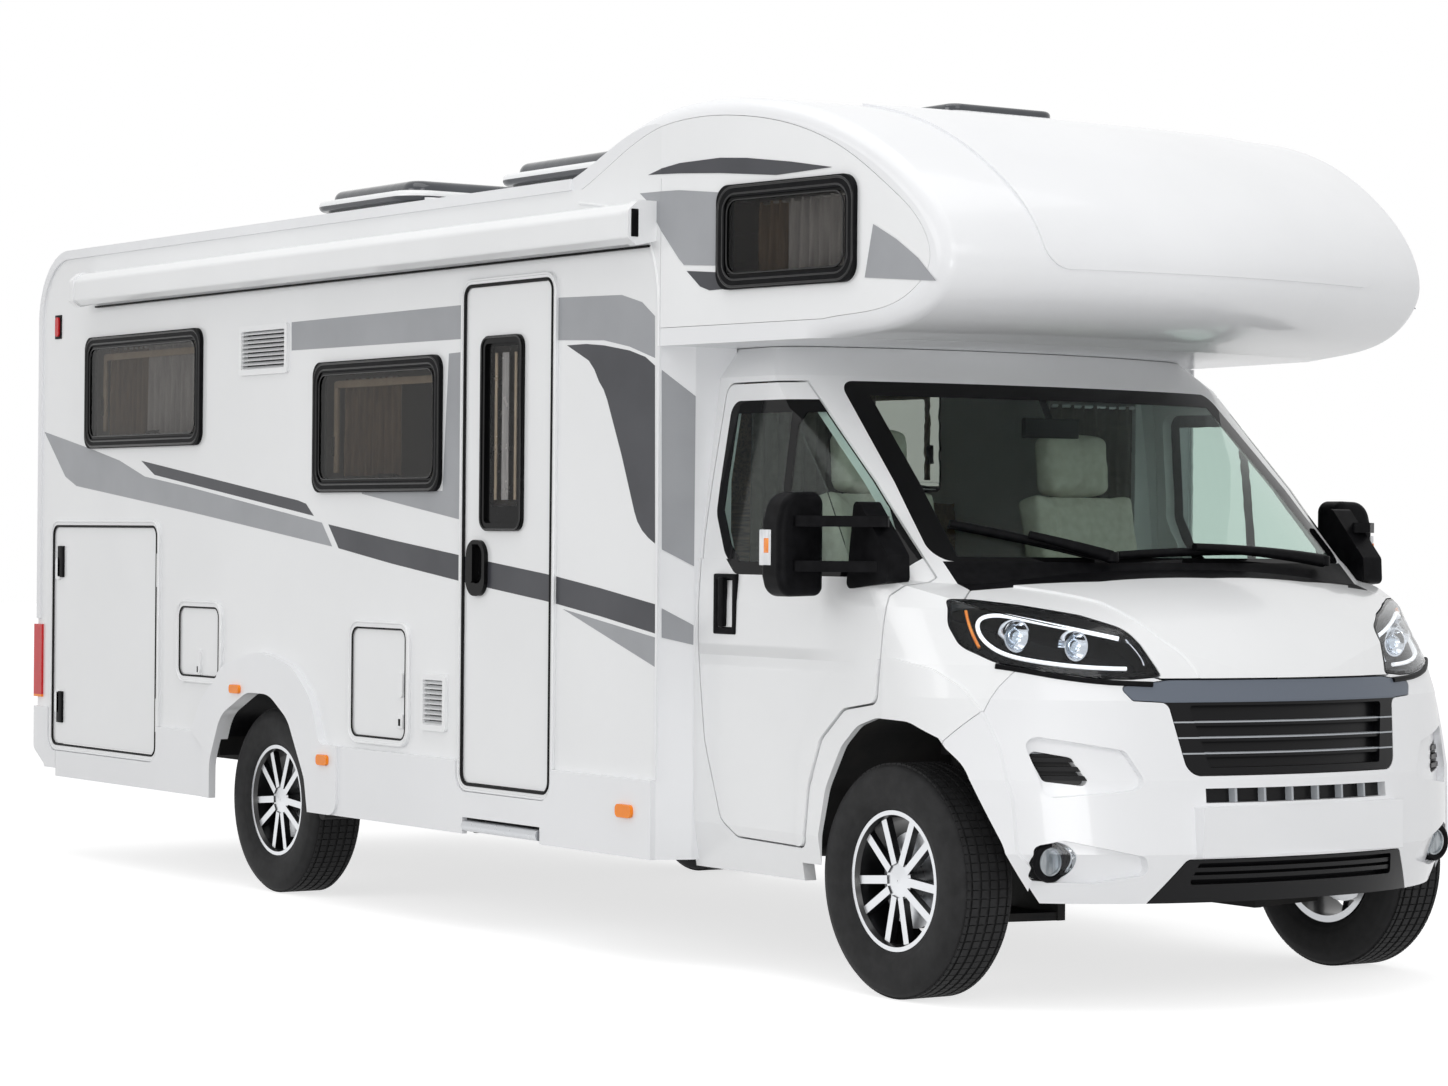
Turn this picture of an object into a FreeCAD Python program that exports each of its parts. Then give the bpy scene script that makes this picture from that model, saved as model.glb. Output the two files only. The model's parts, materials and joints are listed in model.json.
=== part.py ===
import FreeCAD, Part
import math
import os

# A coachbuilt motorhome with an alcove over its cab, parked on its wheels.
# Millimetres. +X forward, +Y to the vehicle's left, +Z up, ground at z = 0.
# The origin lies on the ground under the middle of the whole vehicle.

# Overall length
WHEELBASE = 3945.0
FRONT_OVERHANG = 785.0
REAR_OVERHANG = 2230.0
VEHICLE_LENGTH = FRONT_OVERHANG + WHEELBASE + REAR_OVERHANG
NOSE_X = VEHICLE_LENGTH / 2
TAIL_X = -VEHICLE_LENGTH / 2

# Running gear
FRONT_AXLE_X = NOSE_X - FRONT_OVERHANG
REAR_AXLE_X = FRONT_AXLE_X - WHEELBASE
TYRE_RADIUS = 365.0
TYRE_WIDTH = 225.0
TYRE_BORE = 218.0
FRONT_TRACK = 1810.0
REAR_TRACK = 1990.0
KINGPIN_INSET = 165.0
HUB_RADIUS = 62.0
DISC_RADIUS = 150.0
SPOKE_PAIRS = 5

# Habitation body
BODY_HALF_WIDTH = 1161.0
BODY_REAR_X = TAIL_X + 85.0
BODY_FRONT_X = FRONT_AXLE_X - 1090.0
WALL = 30.0
WRAP = 40.0
WALL_BOTTOM_Z = 590.0
ROOF_TOP_Z = 2642.0
REAR_CORNER_RADIUS = 300.0
FLOOR_TOP_Z = 660.0
FLOOR_THICKNESS = 60.0
SKIRT_TOP_Z = 614.0
SKIRT_BOTTOM_Z = 352.0
SKIRT_PROUD = 20.0
FLARE_PROUD = 30.0
REAR_ARCH_BEHIND = 384.0
REAR_ARCH_AHEAD = 432.0
REAR_ARCH_TOP_Z = 790.0

# Alcove
ALCOVE_BACK_X = BODY_FRONT_X - 555.0
ALCOVE_BOTTOM_Z = 2050.0
ALCOVE_NOSE_X = BODY_FRONT_X + 1530.0
ALCOVE_TAPER = 0.118

# Cab
CAB_REAR_X = BODY_FRONT_X + 20.0
CAB_HALF_WIDTH = 1036.0
CAB_WALL = 45.0
CAB_ROOF_Z = 1950.0
CAB_FLOOR_Z = 590.0
CAB_FLOOR_THICKNESS = 30.0

# Fits
GAP = 6.0
SEAM = 3.0
GLASS = 6.0

LEFT_AND_RIGHT = (-1, 1)


def vec(x, y, z):
    return FreeCAD.Vector(x, y, z)


def block(x0, x1, y0, y1, z0, z1):
    return Part.makeBox(x1 - x0, y1 - y0, z1 - z0, vec(x0, y0, z0))


def cylinder(centre, axis, radius, length):
    return Part.makeCylinder(radius, length, vec(*centre), vec(*axis))


def corner_arc(before, corner, after, radius):
    towards_before = (before - corner).normalize()
    towards_after = (after - corner).normalize()
    half_angle = towards_before.getAngle(towards_after) / 2
    reach = radius / math.tan(half_angle)
    bisector = (towards_before + towards_after).normalize()
    centre = corner + bisector * (radius / math.sin(half_angle))
    start = corner + towards_before * reach
    end = corner + towards_after * reach
    return start, centre - bisector * radius, end


def rounded_wire(points, radii):
    """A closed outline with an arc of the given radius at each corner."""
    count = len(points)
    if not isinstance(radii, (list, tuple)):
        radii = [radii] * count
    edges = []
    stops = []
    for index in range(count):
        corner = points[index]
        if radii[index] > 0:
            stops.append(corner_arc(points[index - 1], corner, points[(index + 1) % count], radii[index]))
        else:
            stops.append((corner, None, corner))
    for index in range(count):
        start, middle, end = stops[index]
        if middle is not None:
            edges.append(Part.Arc(start, middle, end).toShape())
        following = stops[(index + 1) % count][0]
        if end.distanceToPoint(following) > 0.001:
            edges.append(Part.makeLine(end, following))
    return Part.Wire(edges)


def outline_face(points, radii, grow):
    """The face inside an outline, moved outwards by grow."""
    wire = rounded_wire(points, radii)
    if grow:
        wire = wire.makeOffset2D(grow)
    return Part.Face(wire)


def side_prism(points, y0, y1, radii=0, grow=0):
    """An outline of x, z points, extruded across the vehicle."""
    face = outline_face([vec(x, y0, z) for x, z in points], radii, grow)
    return face.extrude(vec(0, y1 - y0, 0))


def plan_prism(points, z0, z1, radii=0, grow=0):
    """An outline of x, y points, extruded upwards."""
    face = outline_face([vec(x, y, z0) for x, y in points], radii, grow)
    return face.extrude(vec(0, 0, z1 - z0))


def cross_prism(points, x0, x1, radii=0, grow=0):
    """An outline of y, z points, extruded forwards."""
    face = outline_face([vec(x0, y, z) for y, z in points], radii, grow)
    return face.extrude(vec(x1 - x0, 0, 0))


def side_panel(x0, x1, z0, z1, y0, y1, radius):
    return side_prism([(x0, z0), (x1, z0), (x1, z1), (x0, z1)], y0, y1, radius)


def mirrored(shape):
    return shape.mirror(vec(0, 0, 0), vec(0, 1, 0))


def both_sides(shape):
    return [shape, mirrored(shape)]


def fused(shapes):
    if len(shapes) == 1:
        return shapes[0]
    return shapes[0].multiFuse(shapes[1:]).removeSplitter()


def cut(shape, tools):
    return shape.cut(Part.makeCompound(tools)) if tools else shape


def tube(points, radius):
    """A round bar along straight runs, with a ball at each bend."""
    pieces = []
    for start, end in zip(points[:-1], points[1:]):
        run = vec(*end) - vec(*start)
        pieces.append(Part.makeCylinder(radius, run.Length, vec(*start), run))
    for bend in points[1:-1]:
        pieces.append(Part.makeSphere(radius, vec(*bend)))
    return fused(pieces)


def save(name, shape):
    if isinstance(shape, list):
        shape = Part.makeCompound(shape)
    solids = shape.Solids
    shape = solids[0] if len(solids) == 1 else Part.makeCompound(solids)
    shape.exportStep("parts/" + name + ".step")
    print(name, len(solids), round(shape.Volume / 1e6, 2), "litres", shape.isValid())


# Openings in the side walls: x0, x1, z0, z1 of the outer frames

REAR_WINDOW = (-2895.0, -1778.0, 1776.0, 2253.0)
DINETTE_WINDOW = (-803.0, 175.0, 1577.0, 2075.0)
ALCOVE_WINDOW = (1902.0, 2557.0, 2219.0, 2557.0)
ENTRY_DOOR = (323.0, 968.0, 506.0, 2332.0)
GARAGE_DOOR = (-3239.0, -2154.0, 466.0, 1467.0)
CASSETTE_HATCH = (-1982.0, -1575.0, 811.0, 1142.0)
GAS_HATCH = (-503.0, -43.0, 637.0, 1095.0)
FRIDGE_VENT = (-1440.0, -1027.0, 2045.0, 2240.0)
HEATER_VENT = (45.0, 230.0, 707.0, 914.0)
WINDOW_RADIUS = 55.0
PANE_GAP = 1.0
WINDOW_RING = 40.0
WINDOW_PROUD = 16.0
FRAME_RING = 24.0
FRAME_PROUD = 10.0
LEAF_PROUD = 4.0
DOOR_RADIUS = 60.0


def inset_rect(rect, amount):
    x0, x1, z0, z1 = rect
    return (x0 + amount, x1 - amount, z0 + amount, z1 - amount)


def rect_panel(rect, y0, y1, radius):
    x0, x1, z0, z1 = rect
    return side_panel(x0, x1, z0, z1, y0, y1, radius)


def rect_ring(rect, width, y0, y1, radius):
    outer = rect_panel(rect, y0, y1, radius)
    inner = rect_panel(inset_rect(rect, width), y0 - 1, y1 + 1, max(radius - width, 5))
    return outer.cut(inner)


# Wheels and tyres

def wheel_place(front, side):
    track = FRONT_TRACK if front else REAR_TRACK
    axle_x = FRONT_AXLE_X if front else REAR_AXLE_X
    return axle_x, side * track / 2


def turned(profile, x, y, side):
    """A closed outline of radius, offset-outwards points, turned about the wheel's axle."""
    points = [vec(x, y + side * out, TYRE_RADIUS + radius) for radius, out in profile]
    face = Part.Face(Part.makePolygon(points + points[:1]))
    return face.revolve(vec(x, y, TYRE_RADIUS), vec(0, 1, 0), 360)


def tyre(x, y, side):
    half = TYRE_WIDTH / 2
    shoulder = TYRE_RADIUS - 14
    profile = [
        (TYRE_BORE, -half + 28),
        (TYRE_BORE + 30, -half + 10),
        (TYRE_BORE + 75, -half),
        (shoulder, -half + 10),
        (TYRE_RADIUS, -half + 34),
        (TYRE_RADIUS, half - 34),
        (shoulder, half - 10),
        (TYRE_BORE + 75, half),
        (TYRE_BORE + 30, half - 10),
        (TYRE_BORE, half - 28),
    ]
    return turned(profile, x, y, side)


def spoke_pair(x, y, side, angle):
    """Two bars that leave the hub together and open towards the rim."""
    out0 = TYRE_WIDTH / 2 - 62
    out1 = TYRE_WIDTH / 2 - 38
    bars = []
    for lean in (-1, 1):
        inner = vec(HUB_RADIUS - 12, 0, lean * 16)
        outer = vec(TYRE_BORE - 16, 0, lean * 52)
        along = (outer - inner).normalize()
        across = vec(-along.z, 0, along.x) * 13
        corners = [inner - across, outer - across, outer + across, inner + across]
        y0 = min(side * out0, side * out1)
        face = Part.Face(Part.makePolygon([c + vec(0, y0, 0) for c in corners + corners[:1]]))
        bars.append(face.extrude(vec(0, out1 - out0, 0)))
    pair = fused(bars)
    pair.rotate(vec(0, 0, 0), vec(0, 1, 0), angle)
    pair.translate(vec(x, y, TYRE_RADIUS))
    return pair


def rim(x, y, side):
    half = TYRE_WIDTH / 2
    barrel = turned([
        (TYRE_BORE - 22, -half + 20),
        (TYRE_BORE, -half + 20),
        (TYRE_BORE, half - 24),
        (TYRE_BORE - 14, half - 24),
        (TYRE_BORE - 22, half - 40),
    ], x, y, side)
    hub = turned([(0, 10), (HUB_RADIUS, 10), (HUB_RADIUS, half - 44), (0, half - 38)], x, y, side)
    disc = turned([(0, -14), (DISC_RADIUS, -14), (DISC_RADIUS, 12), (0, 12)], x, y, side)
    spokes = [spoke_pair(x, y, side, 360 / SPOKE_PAIRS * index + 18) for index in range(SPOKE_PAIRS)]
    return fused([barrel, hub, disc] + spokes)


def build_wheels():
    for front, axle in ((True, "front"), (False, "rear")):
        for side, hand in ((-1, "right"), (1, "left")):
            x, y = wheel_place(front, side)
            save("tyre_%s_%s" % (axle, hand), tyre(x, y, side))
            save("rim_%s_%s" % (axle, hand), rim(x, y, side))


# Steering knuckles, each with its strut standing on the steering axis

STRUT_RADIUS = 26.0
SPRING_RADIUS = 58.0
FRONT_ARCH_TOP_Z = 864.0
STRUT_TOP_Z = FRONT_ARCH_TOP_Z - GAP
ARM_TOP_Z = 250.0


def knuckle(side):
    x, y = wheel_place(True, side)
    kingpin_y = y - side * KINGPIN_INSET
    low, high = sorted((kingpin_y - side * 26, y - side * 82))
    upright = block(x - 45, x + 45, low, high, TYRE_RADIUS - 110, TYRE_RADIUS + 120)
    stub = cylinder((x, kingpin_y, TYRE_RADIUS), (0, side, 0), 34, KINGPIN_INSET - 18)
    low, high = sorted((kingpin_y, kingpin_y - side * 30))
    arm = block(x - 150, x - 20, low, high, TYRE_RADIUS - 60, TYRE_RADIUS - 30)
    strut = cylinder((x, kingpin_y, TYRE_RADIUS), (0, 0, 1), STRUT_RADIUS, STRUT_TOP_Z - TYRE_RADIUS)
    spring = cylinder((x, kingpin_y, 2 * TYRE_RADIUS + 20), (0, 0, 1), SPRING_RADIUS, STRUT_TOP_Z - 2 * TYRE_RADIUS - 20)
    foot = cylinder((x, kingpin_y, ARM_TOP_Z + 2), (0, 0, 1), 16, TYRE_RADIUS - 60 - ARM_TOP_Z)
    return fused([upright, stub, arm, strut, spring, foot])


# Chassis

RAIL_Y = 420.0
RAIL_WIDTH = 70.0
RAIL_LOW_Z = 420.0
RAIL_HIGH_Z = FLOOR_TOP_Z - FLOOR_THICKNESS
RAIL_REAR_X = -3150.0
RAIL_FRONT_X = 3180.0
CROSS_MEMBER_XS = (-3100.0, -2300.0, -1750.0, -900.0, 0.0, 900.0)
JACK_PAD_XS = (-2150.0, -600.0, 1500.0)
TOW_PLATE_X = -3300.0
TOW_HOLE_RADIUS = 6.5
TOW_SPACING_Y = 83.0
TOW_SPACING_Z = 56.0
TOW_PLATE_Z = 470.0


def chassis_frame():
    pieces = []
    for side in LEFT_AND_RIGHT:
        y = side * RAIL_Y
        inner, outer = y - RAIL_WIDTH / 2, y + RAIL_WIDTH / 2
        pieces.append(block(RAIL_REAR_X, CAB_REAR_X - 30, inner, outer, RAIL_LOW_Z, RAIL_HIGH_Z))
        cab_rail_top = CAB_FLOOR_Z - CAB_FLOOR_THICKNESS
        pieces.append(block(CAB_REAR_X - 30, RAIL_FRONT_X, inner, outer, RAIL_LOW_Z - 20, cab_rail_top))
        for x in JACK_PAD_XS:
            low, high = sorted((side * (RAIL_Y - 5), side * 900))
            pieces.append(block(x - 30, x + 30, low, high, RAIL_HIGH_Z - 110, RAIL_HIGH_Z))
    for x in CROSS_MEMBER_XS:
        pieces.append(block(x - 35, x + 35, -RAIL_Y, RAIL_Y, RAIL_LOW_Z + 20, RAIL_HIGH_Z - 40))
    tow_beam = block(TOW_PLATE_X + 12, RAIL_REAR_X + 60, -60, 60, TOW_PLATE_Z - 50, TOW_PLATE_Z + 50)
    tow_plate = block(TOW_PLATE_X, TOW_PLATE_X + 12, -75, 75, TOW_PLATE_Z - 55, TOW_PLATE_Z + 55)
    tow_beam = tow_beam.cut(block(TOW_PLATE_X, TOW_PLATE_X + 70, -54, 54, TOW_PLATE_Z - 44, TOW_PLATE_Z + 44))
    holes = []
    for y in (-TOW_SPACING_Y / 2, TOW_SPACING_Y / 2):
        for z in (TOW_PLATE_Z - TOW_SPACING_Z / 2, TOW_PLATE_Z + TOW_SPACING_Z / 2):
            holes.append(cylinder((TOW_PLATE_X - 5, y, z), (1, 0, 0), TOW_HOLE_RADIUS, 30))
    tow_plate = cut(tow_plate, holes)
    return fused(pieces + [tow_beam, tow_plate])


def engine_block():
    return block(2760, 3180, -330, 330, 430, 980)


def rear_axle():
    x = REAR_AXLE_X
    reach = REAR_TRACK / 2 - 16
    beam = cylinder((x, -reach, TYRE_RADIUS), (0, 1, 0), 40, 2 * reach)
    pieces = [beam]
    for side in LEFT_AND_RIGHT:
        y = side * 560
        spring = block(x - 600, x + 600, y - 32, y + 32, TYRE_RADIUS + 34, TYRE_RADIUS + 56)
        pieces.append(spring)
        for end in (x - 590, x + 560):
            low, high = sorted((side * (RAIL_Y + RAIL_WIDTH / 2), y + side * 34))
            pieces.append(block(end - 5, end + 35, low, high, TYRE_RADIUS + 40, RAIL_HIGH_Z - 60))
        low, high = sorted((side * (reach - 20), side * (reach - 60)))
        pieces.append(block(x - 60, x + 60, low, high, TYRE_RADIUS - 60, TYRE_RADIUS + 60))
    return fused(pieces)


def front_suspension():
    x = FRONT_AXLE_X
    pieces = [block(x - 200, x + 120, -430, 430, 300, RAIL_LOW_Z - 20)]
    for side in LEFT_AND_RIGHT:
        kingpin_y = side * (FRONT_TRACK / 2 - KINGPIN_INSET)
        wishbone = [(x - 150, side * 400), (x + 110, side * 400), (x + 26, kingpin_y + side * 20),
                    (x - 26, kingpin_y + side * 20)]
        pieces.append(plan_prism(wishbone, ARM_TOP_Z - 26, ARM_TOP_Z))
        low, high = sorted((side * 400, side * 430))
        pieces.append(block(x - 150, x + 110, low, high, ARM_TOP_Z - 26, RAIL_LOW_Z - 20))
    return fused(pieces)


def tanks_and_exhaust():
    waste = block(-780, -120, -330, 340, 395, RAIL_HIGH_Z - 70)
    fuel = block(880, 1430, 470, 900, 330, RAIL_HIGH_Z - 20)
    spare = block(200, 850, -330, 330, 400, RAIL_HIGH_Z - 45)
    pipe = tube([(2480, -250, 360), (1700, -250, 360), (1500, -520, 360), (-330, -520, 360)], 28)
    silencer = cylinder((-320, -520, 360), (-1, 0, 0), 85, 330)
    tail = tube([(-600, -520, 360), (-800, -900, 345), (-800, -1120, 345)], 26)
    return [waste, fuel, spare, fused([pipe, silencer, tail])]


# Habitation body panels

def wheel_box(side, clearance):
    low, high = sorted((side * 760, side * (BODY_HALF_WIDTH + 60)))
    x = REAR_AXLE_X
    top = REAR_ARCH_TOP_Z + clearance
    outline = [
        (x - REAR_ARCH_BEHIND - clearance, 200), (x + REAR_ARCH_AHEAD + 60 + clearance, 200),
        (x + REAR_ARCH_AHEAD + clearance, 480), (x + 290 + clearance, 700), (x + 130, top), (x - 60, top),
        (x - 290 - clearance, 690), (x - REAR_ARCH_BEHIND - clearance, 500),
    ]
    return side_prism(outline, low, high, [0, 0, 120, 160, 200, 200, 160, 150])


STEP_RAIL_XS = (370.0, 910.0)


def habitation_floor():
    rear = BODY_REAR_X + WRAP
    reach = BODY_HALF_WIDTH - WALL
    slab = block(rear, BODY_FRONT_X, -reach, reach, RAIL_HIGH_Z, FLOOR_TOP_Z)
    boxes = []
    for side in LEFT_AND_RIGHT:
        keep = block(rear, BODY_FRONT_X, min(0, side * reach), max(0, side * reach), RAIL_HIGH_Z, 1100)
        boxes.append(wheel_box(side, 25).common(keep))
    rails = [block(x - 10, x + 10, 36 - BODY_HALF_WIDTH, -860, SKIRT_BOTTOM_Z, RAIL_HIGH_Z) for x in STEP_RAIL_XS]
    body = fused([slab] + boxes + rails)
    return cut(body, [wheel_box(side, 0) for side in LEFT_AND_RIGHT])


def wall_outline(side):
    rear = BODY_REAR_X + WRAP
    top = ROOF_TOP_Z - WRAP
    outline = [(rear, WALL_BOTTOM_Z), (BODY_FRONT_X, WALL_BOTTOM_Z), (BODY_FRONT_X, top), (rear, top)]
    low, high = sorted((side * (BODY_HALF_WIDTH - WALL), side * BODY_HALF_WIDTH))
    return side_prism(outline, low, high, [0, 0, 0, REAR_CORNER_RADIUS - WRAP])


def wall_openings(side):
    low = side * BODY_HALF_WIDTH - 60
    high = side * BODY_HALF_WIDTH + 60
    windows = [REAR_WINDOW, DINETTE_WINDOW]
    doors = [GARAGE_DOOR]
    if side < 0:
        doors += [ENTRY_DOOR, CASSETTE_HATCH, GAS_HATCH]
    tools = [rect_panel(inset_rect(w, WINDOW_RING - 12), low, high, WINDOW_RADIUS - 20) for w in windows]
    tools += [rect_panel(inset_rect(d, 6), low, high, DOOR_RADIUS - 6) for d in doors]
    tools.append(wheel_box(side, 0))
    if side < 0:
        tools += [rect_panel(inset_rect(v, 18), low, high, 8) for v in (FRIDGE_VENT, HEATER_VENT)]
    return tools


def side_wall(side):
    wall = wall_outline(side)
    low, high = sorted((side * (BODY_HALF_WIDTH - WALL), side * BODY_HALF_WIDTH))
    tongues = [GARAGE_DOOR] + ([ENTRY_DOOR] if side < 0 else [])
    for x0, x1, z0, z1 in tongues:
        wall = wall.fuse(block(x0 - 18, x1 + 18, low, high, z0 - 24, WALL_BOTTOM_Z + 5))
    return cut(wall.removeSplitter(), wall_openings(side))


def rear_wall():
    low_z = WALL_BOTTOM_Z
    high_z = ROOF_TOP_Z - REAR_CORNER_RADIUS
    return block(BODY_REAR_X, BODY_REAR_X + WRAP, -BODY_HALF_WIDTH, BODY_HALF_WIDTH, low_z, high_z)


ROOF_LIGHT_XS = (-1840.0, -310.0)
ROOF_LIGHT_SIZE = 860.0
TRIM_WIDTH = 38.0
TRIM_PROUD = 9.0
TRIM_LOW_Z = 1035.0


def square_prism(x, half, z0, z1, radius):
    return plan_prism([(x - half, -half), (x + half, -half), (x + half, half), (x - half, half)], z0, z1, radius)


def roof_hole(x, z):
    return square_prism(x, ROOF_LIGHT_SIZE / 2 - 80, z - 120, z + 60, 40)


def edge_trims():
    """A raised band along each side's roof edge, round the rear corner and down the rear edge."""
    x0 = BODY_REAR_X
    x1 = ALCOVE_BACK_X
    inner = x0 + TRIM_WIDTH
    under = ROOF_TOP_Z - TRIM_WIDTH
    outline = [(x0, TRIM_LOW_Z), (x0, ROOF_TOP_Z), (x1, ROOF_TOP_Z), (x1, under), (inner, under), (inner, TRIM_LOW_Z)]
    radii = [0, REAR_CORNER_RADIUS, 0, 0, REAR_CORNER_RADIUS - TRIM_WIDTH, 0]
    bands = []
    for side in LEFT_AND_RIGHT:
        low, high = sorted((side * BODY_HALF_WIDTH, side * (BODY_HALF_WIDTH + TRIM_PROUD)))
        bands.append(side_prism(outline, low, high, radii))
    return bands


def roof_panel():
    x0 = BODY_REAR_X
    top = ROOF_TOP_Z
    radius = REAR_CORNER_RADIUS
    corner_z = top - radius
    diagonal = math.sqrt(0.5)
    outer_mid = (x0 + radius - radius * diagonal, corner_z + radius * diagonal)
    inner = radius - WRAP
    inner_mid = (x0 + radius - inner * diagonal, corner_z + inner * diagonal)
    y0 = -BODY_HALF_WIDTH

    def at(x, z):
        return vec(x, y0, z)

    edges = [
        Part.makeLine(at(ALCOVE_BACK_X, top - WRAP), at(ALCOVE_BACK_X, top)),
        Part.makeLine(at(ALCOVE_BACK_X, top), at(x0 + radius, top)),
        Part.Arc(at(x0 + radius, top), at(*outer_mid), at(x0, corner_z)).toShape(),
        Part.makeLine(at(x0, corner_z), at(x0 + WRAP, corner_z)),
        Part.Arc(at(x0 + WRAP, corner_z), at(*inner_mid), at(x0 + radius, top - WRAP)).toShape(),
        Part.makeLine(at(x0 + radius, top - WRAP), at(ALCOVE_BACK_X, top - WRAP)),
    ]
    panel = Part.Face(Part.Wire(edges)).extrude(vec(0, 2 * BODY_HALF_WIDTH, 0))
    return fused([cut(panel, [roof_hole(x, top) for x in ROOF_LIGHT_XS])] + edge_trims())


# Alcove

# Side outline of the alcove's crown and nose: distance ahead of the body's front edge and, as parts of the
# height from the alcove's floor to the roof, how high.
ALCOVE_CURVE = [
    (955.0, 0.0), (1255.0, 0.047), (1445.0, 0.169), (1525.0, 0.338), (1485.0, 0.574),
    (1325.0, 0.836), (1075.0, 1.081), (775.0, 1.25), (455.0, 1.334), (235.0, 1.351),
    (-5.0, 1.321), (-205.0, 1.226), (-375.0, 1.108), (-555.0, 1.0),
]
ALCOVE_REACH = BODY_HALF_WIDTH + 19.0
ALCOVE_QUARTER = BODY_HALF_WIDTH * 0.706
ALCOVE_STATIONS = (
    (-ALCOVE_REACH, 262.0), (-ALCOVE_QUARTER, 133.0), (0.0, 0.0), (ALCOVE_QUARTER, 133.0), (ALCOVE_REACH, 262.0),
)
ALCOVE_SHELL = 34.0
ALCOVE_LIGHT_X = BODY_FRONT_X + 130.0
ALCOVE_LIGHT_HALF = 235.0
ALCOVE_EDGE = 60.0
ALCOVE_RAISE = 7.0
ALCOVE_PANEL = ((-690.0, 2250.0), (690.0, 2250.0), (770.0, 3000.0), (-770.0, 3000.0))
ALCOVE_BORDER = 58.0
ALCOVE_SIDE_SHIFT = 195.0


def alcove_points(y, back_shift, inset):
    """Points of the side outline at one station, moved towards the middle of the nose by inset."""
    points = []
    height = ROOF_TOP_Z - ALCOVE_BOTTOM_Z
    for ahead, level in ALCOVE_CURVE:
        share = max(0.0, ahead / (ALCOVE_NOSE_X - BODY_FRONT_X))
        x = BODY_FRONT_X + ahead - (back_shift + inset * 1.1) * share
        z = ALCOVE_BOTTOM_Z + level * height - inset * min(1.0, 2.2 * (level - 0.45))
        points.append(vec(x, y, max(z, ALCOVE_BOTTOM_Z + inset)))
    return points


def alcove_wire(y, back_shift, inset):
    points = alcove_points(y, back_shift, inset)
    curve = Part.BSplineCurve()
    curve.interpolate(points)
    back_low = vec(ALCOVE_BACK_X, y, points[0].z)
    return Part.Wire([
        Part.makeLine(back_low, points[0]),
        curve.toShape(),
        Part.makeLine(points[-1], back_low),
    ])


def alcove_taper(inset):
    """What lies between the two side faces, which close in towards the front."""
    half = BODY_HALF_WIDTH - inset
    far_x = ALCOVE_NOSE_X + 165
    far_half = half - ALCOVE_TAPER * (far_x - BODY_FRONT_X)
    return plan_prism([
        (ALCOVE_BACK_X - 20, -half), (BODY_FRONT_X, -half), (far_x, -far_half),
        (far_x, far_half), (BODY_FRONT_X, half), (ALCOVE_BACK_X - 20, half),
    ], ALCOVE_BOTTOM_Z - 150, ROOF_TOP_Z + 360)


def alcove_hull(inset):
    wires = [alcove_wire(y, shift, inset) for y, shift in ALCOVE_STATIONS]
    return Part.makeLoft(wires, True, False).common(alcove_taper(inset))


def rounded_alcove():
    """The outer form, with a rounded edge where the nose meets its two side faces."""
    hull = alcove_hull(0)
    edges = []
    for face in hull.Faces:
        tapered = isinstance(face.Surface, Part.Plane) and 0.95 < abs(face.Surface.Axis.y) < 0.9999
        if tapered:
            edges += [e for e in face.Edges if e.BoundBox.XLength > 300 and e.BoundBox.ZLength > 100]
    return hull.makeFillet(ALCOVE_EDGE, edges)


def alcove_border(clearance):
    """The side panel's outline, which runs inside the nose moulding's rounded edge."""
    points = alcove_points(0, ALCOVE_SIDE_SHIFT, ALCOVE_BORDER + clearance)
    curve = Part.BSplineCurve()
    curve.interpolate(points)
    low_z = points[0].z
    side_wall_top = ROOF_TOP_Z - WRAP
    start_x = BODY_FRONT_X + clearance
    stops = [vec(points[-1].x, 0, side_wall_top), vec(start_x, 0, side_wall_top), vec(start_x, 0, low_z), points[0]]
    edges = [curve.toShape(), Part.makeLine(points[-1], stops[0])]
    edges += [Part.makeLine(a, b) for a, b in zip(stops[:-1], stops[1:])]
    face = Part.Face(Part.Wire(edges))
    reach = ALCOVE_REACH + 120
    face.translate(vec(0, -reach, 0))
    return face.extrude(vec(0, 2 * reach, 0))


def alcove_window_openings():
    tools = []
    for side in LEFT_AND_RIGHT:
        low, high = sorted((side * (BODY_HALF_WIDTH - 81), side * (BODY_HALF_WIDTH + 59)))
        opening = rect_panel(inset_rect(ALCOVE_WINDOW, WINDOW_RING - 12), low, high, WINDOW_RADIUS - 20)
        tools.append(onto_alcove(opening, side))
    return tools


def build_alcove():
    reach = ALCOVE_REACH + 120
    hull = rounded_alcove()
    inner = alcove_hull(ALCOVE_SHELL)
    behind = block(ALCOVE_BACK_X - 50, BODY_FRONT_X + 2, -reach, reach, ALCOVE_BOTTOM_Z - 150, ROOF_TOP_Z - WRAP)
    shell = hull.cut(inner).cut(behind)
    slabs = shell.cut(alcove_taper(ALCOVE_SHELL))
    panels = cut(slabs.common(alcove_border(SEAM / 2)), alcove_window_openings())
    save("alcove_sides", panels)
    raised = alcove_hull(-ALCOVE_RAISE).cut(inner).common(cross_prism(ALCOVE_PANEL, BODY_FRONT_X + 560, 3600, 90))
    moulding = shell.cut(slabs.common(alcove_border(0))).fuse(raised)
    save("alcove_nose", moulding.cut(square_prism(ALCOVE_LIGHT_X, ALCOVE_LIGHT_HALF - 40, ROOF_TOP_Z, ROOF_TOP_Z + 400, 40)))


# Fillers between the habitation body and the cab

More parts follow.
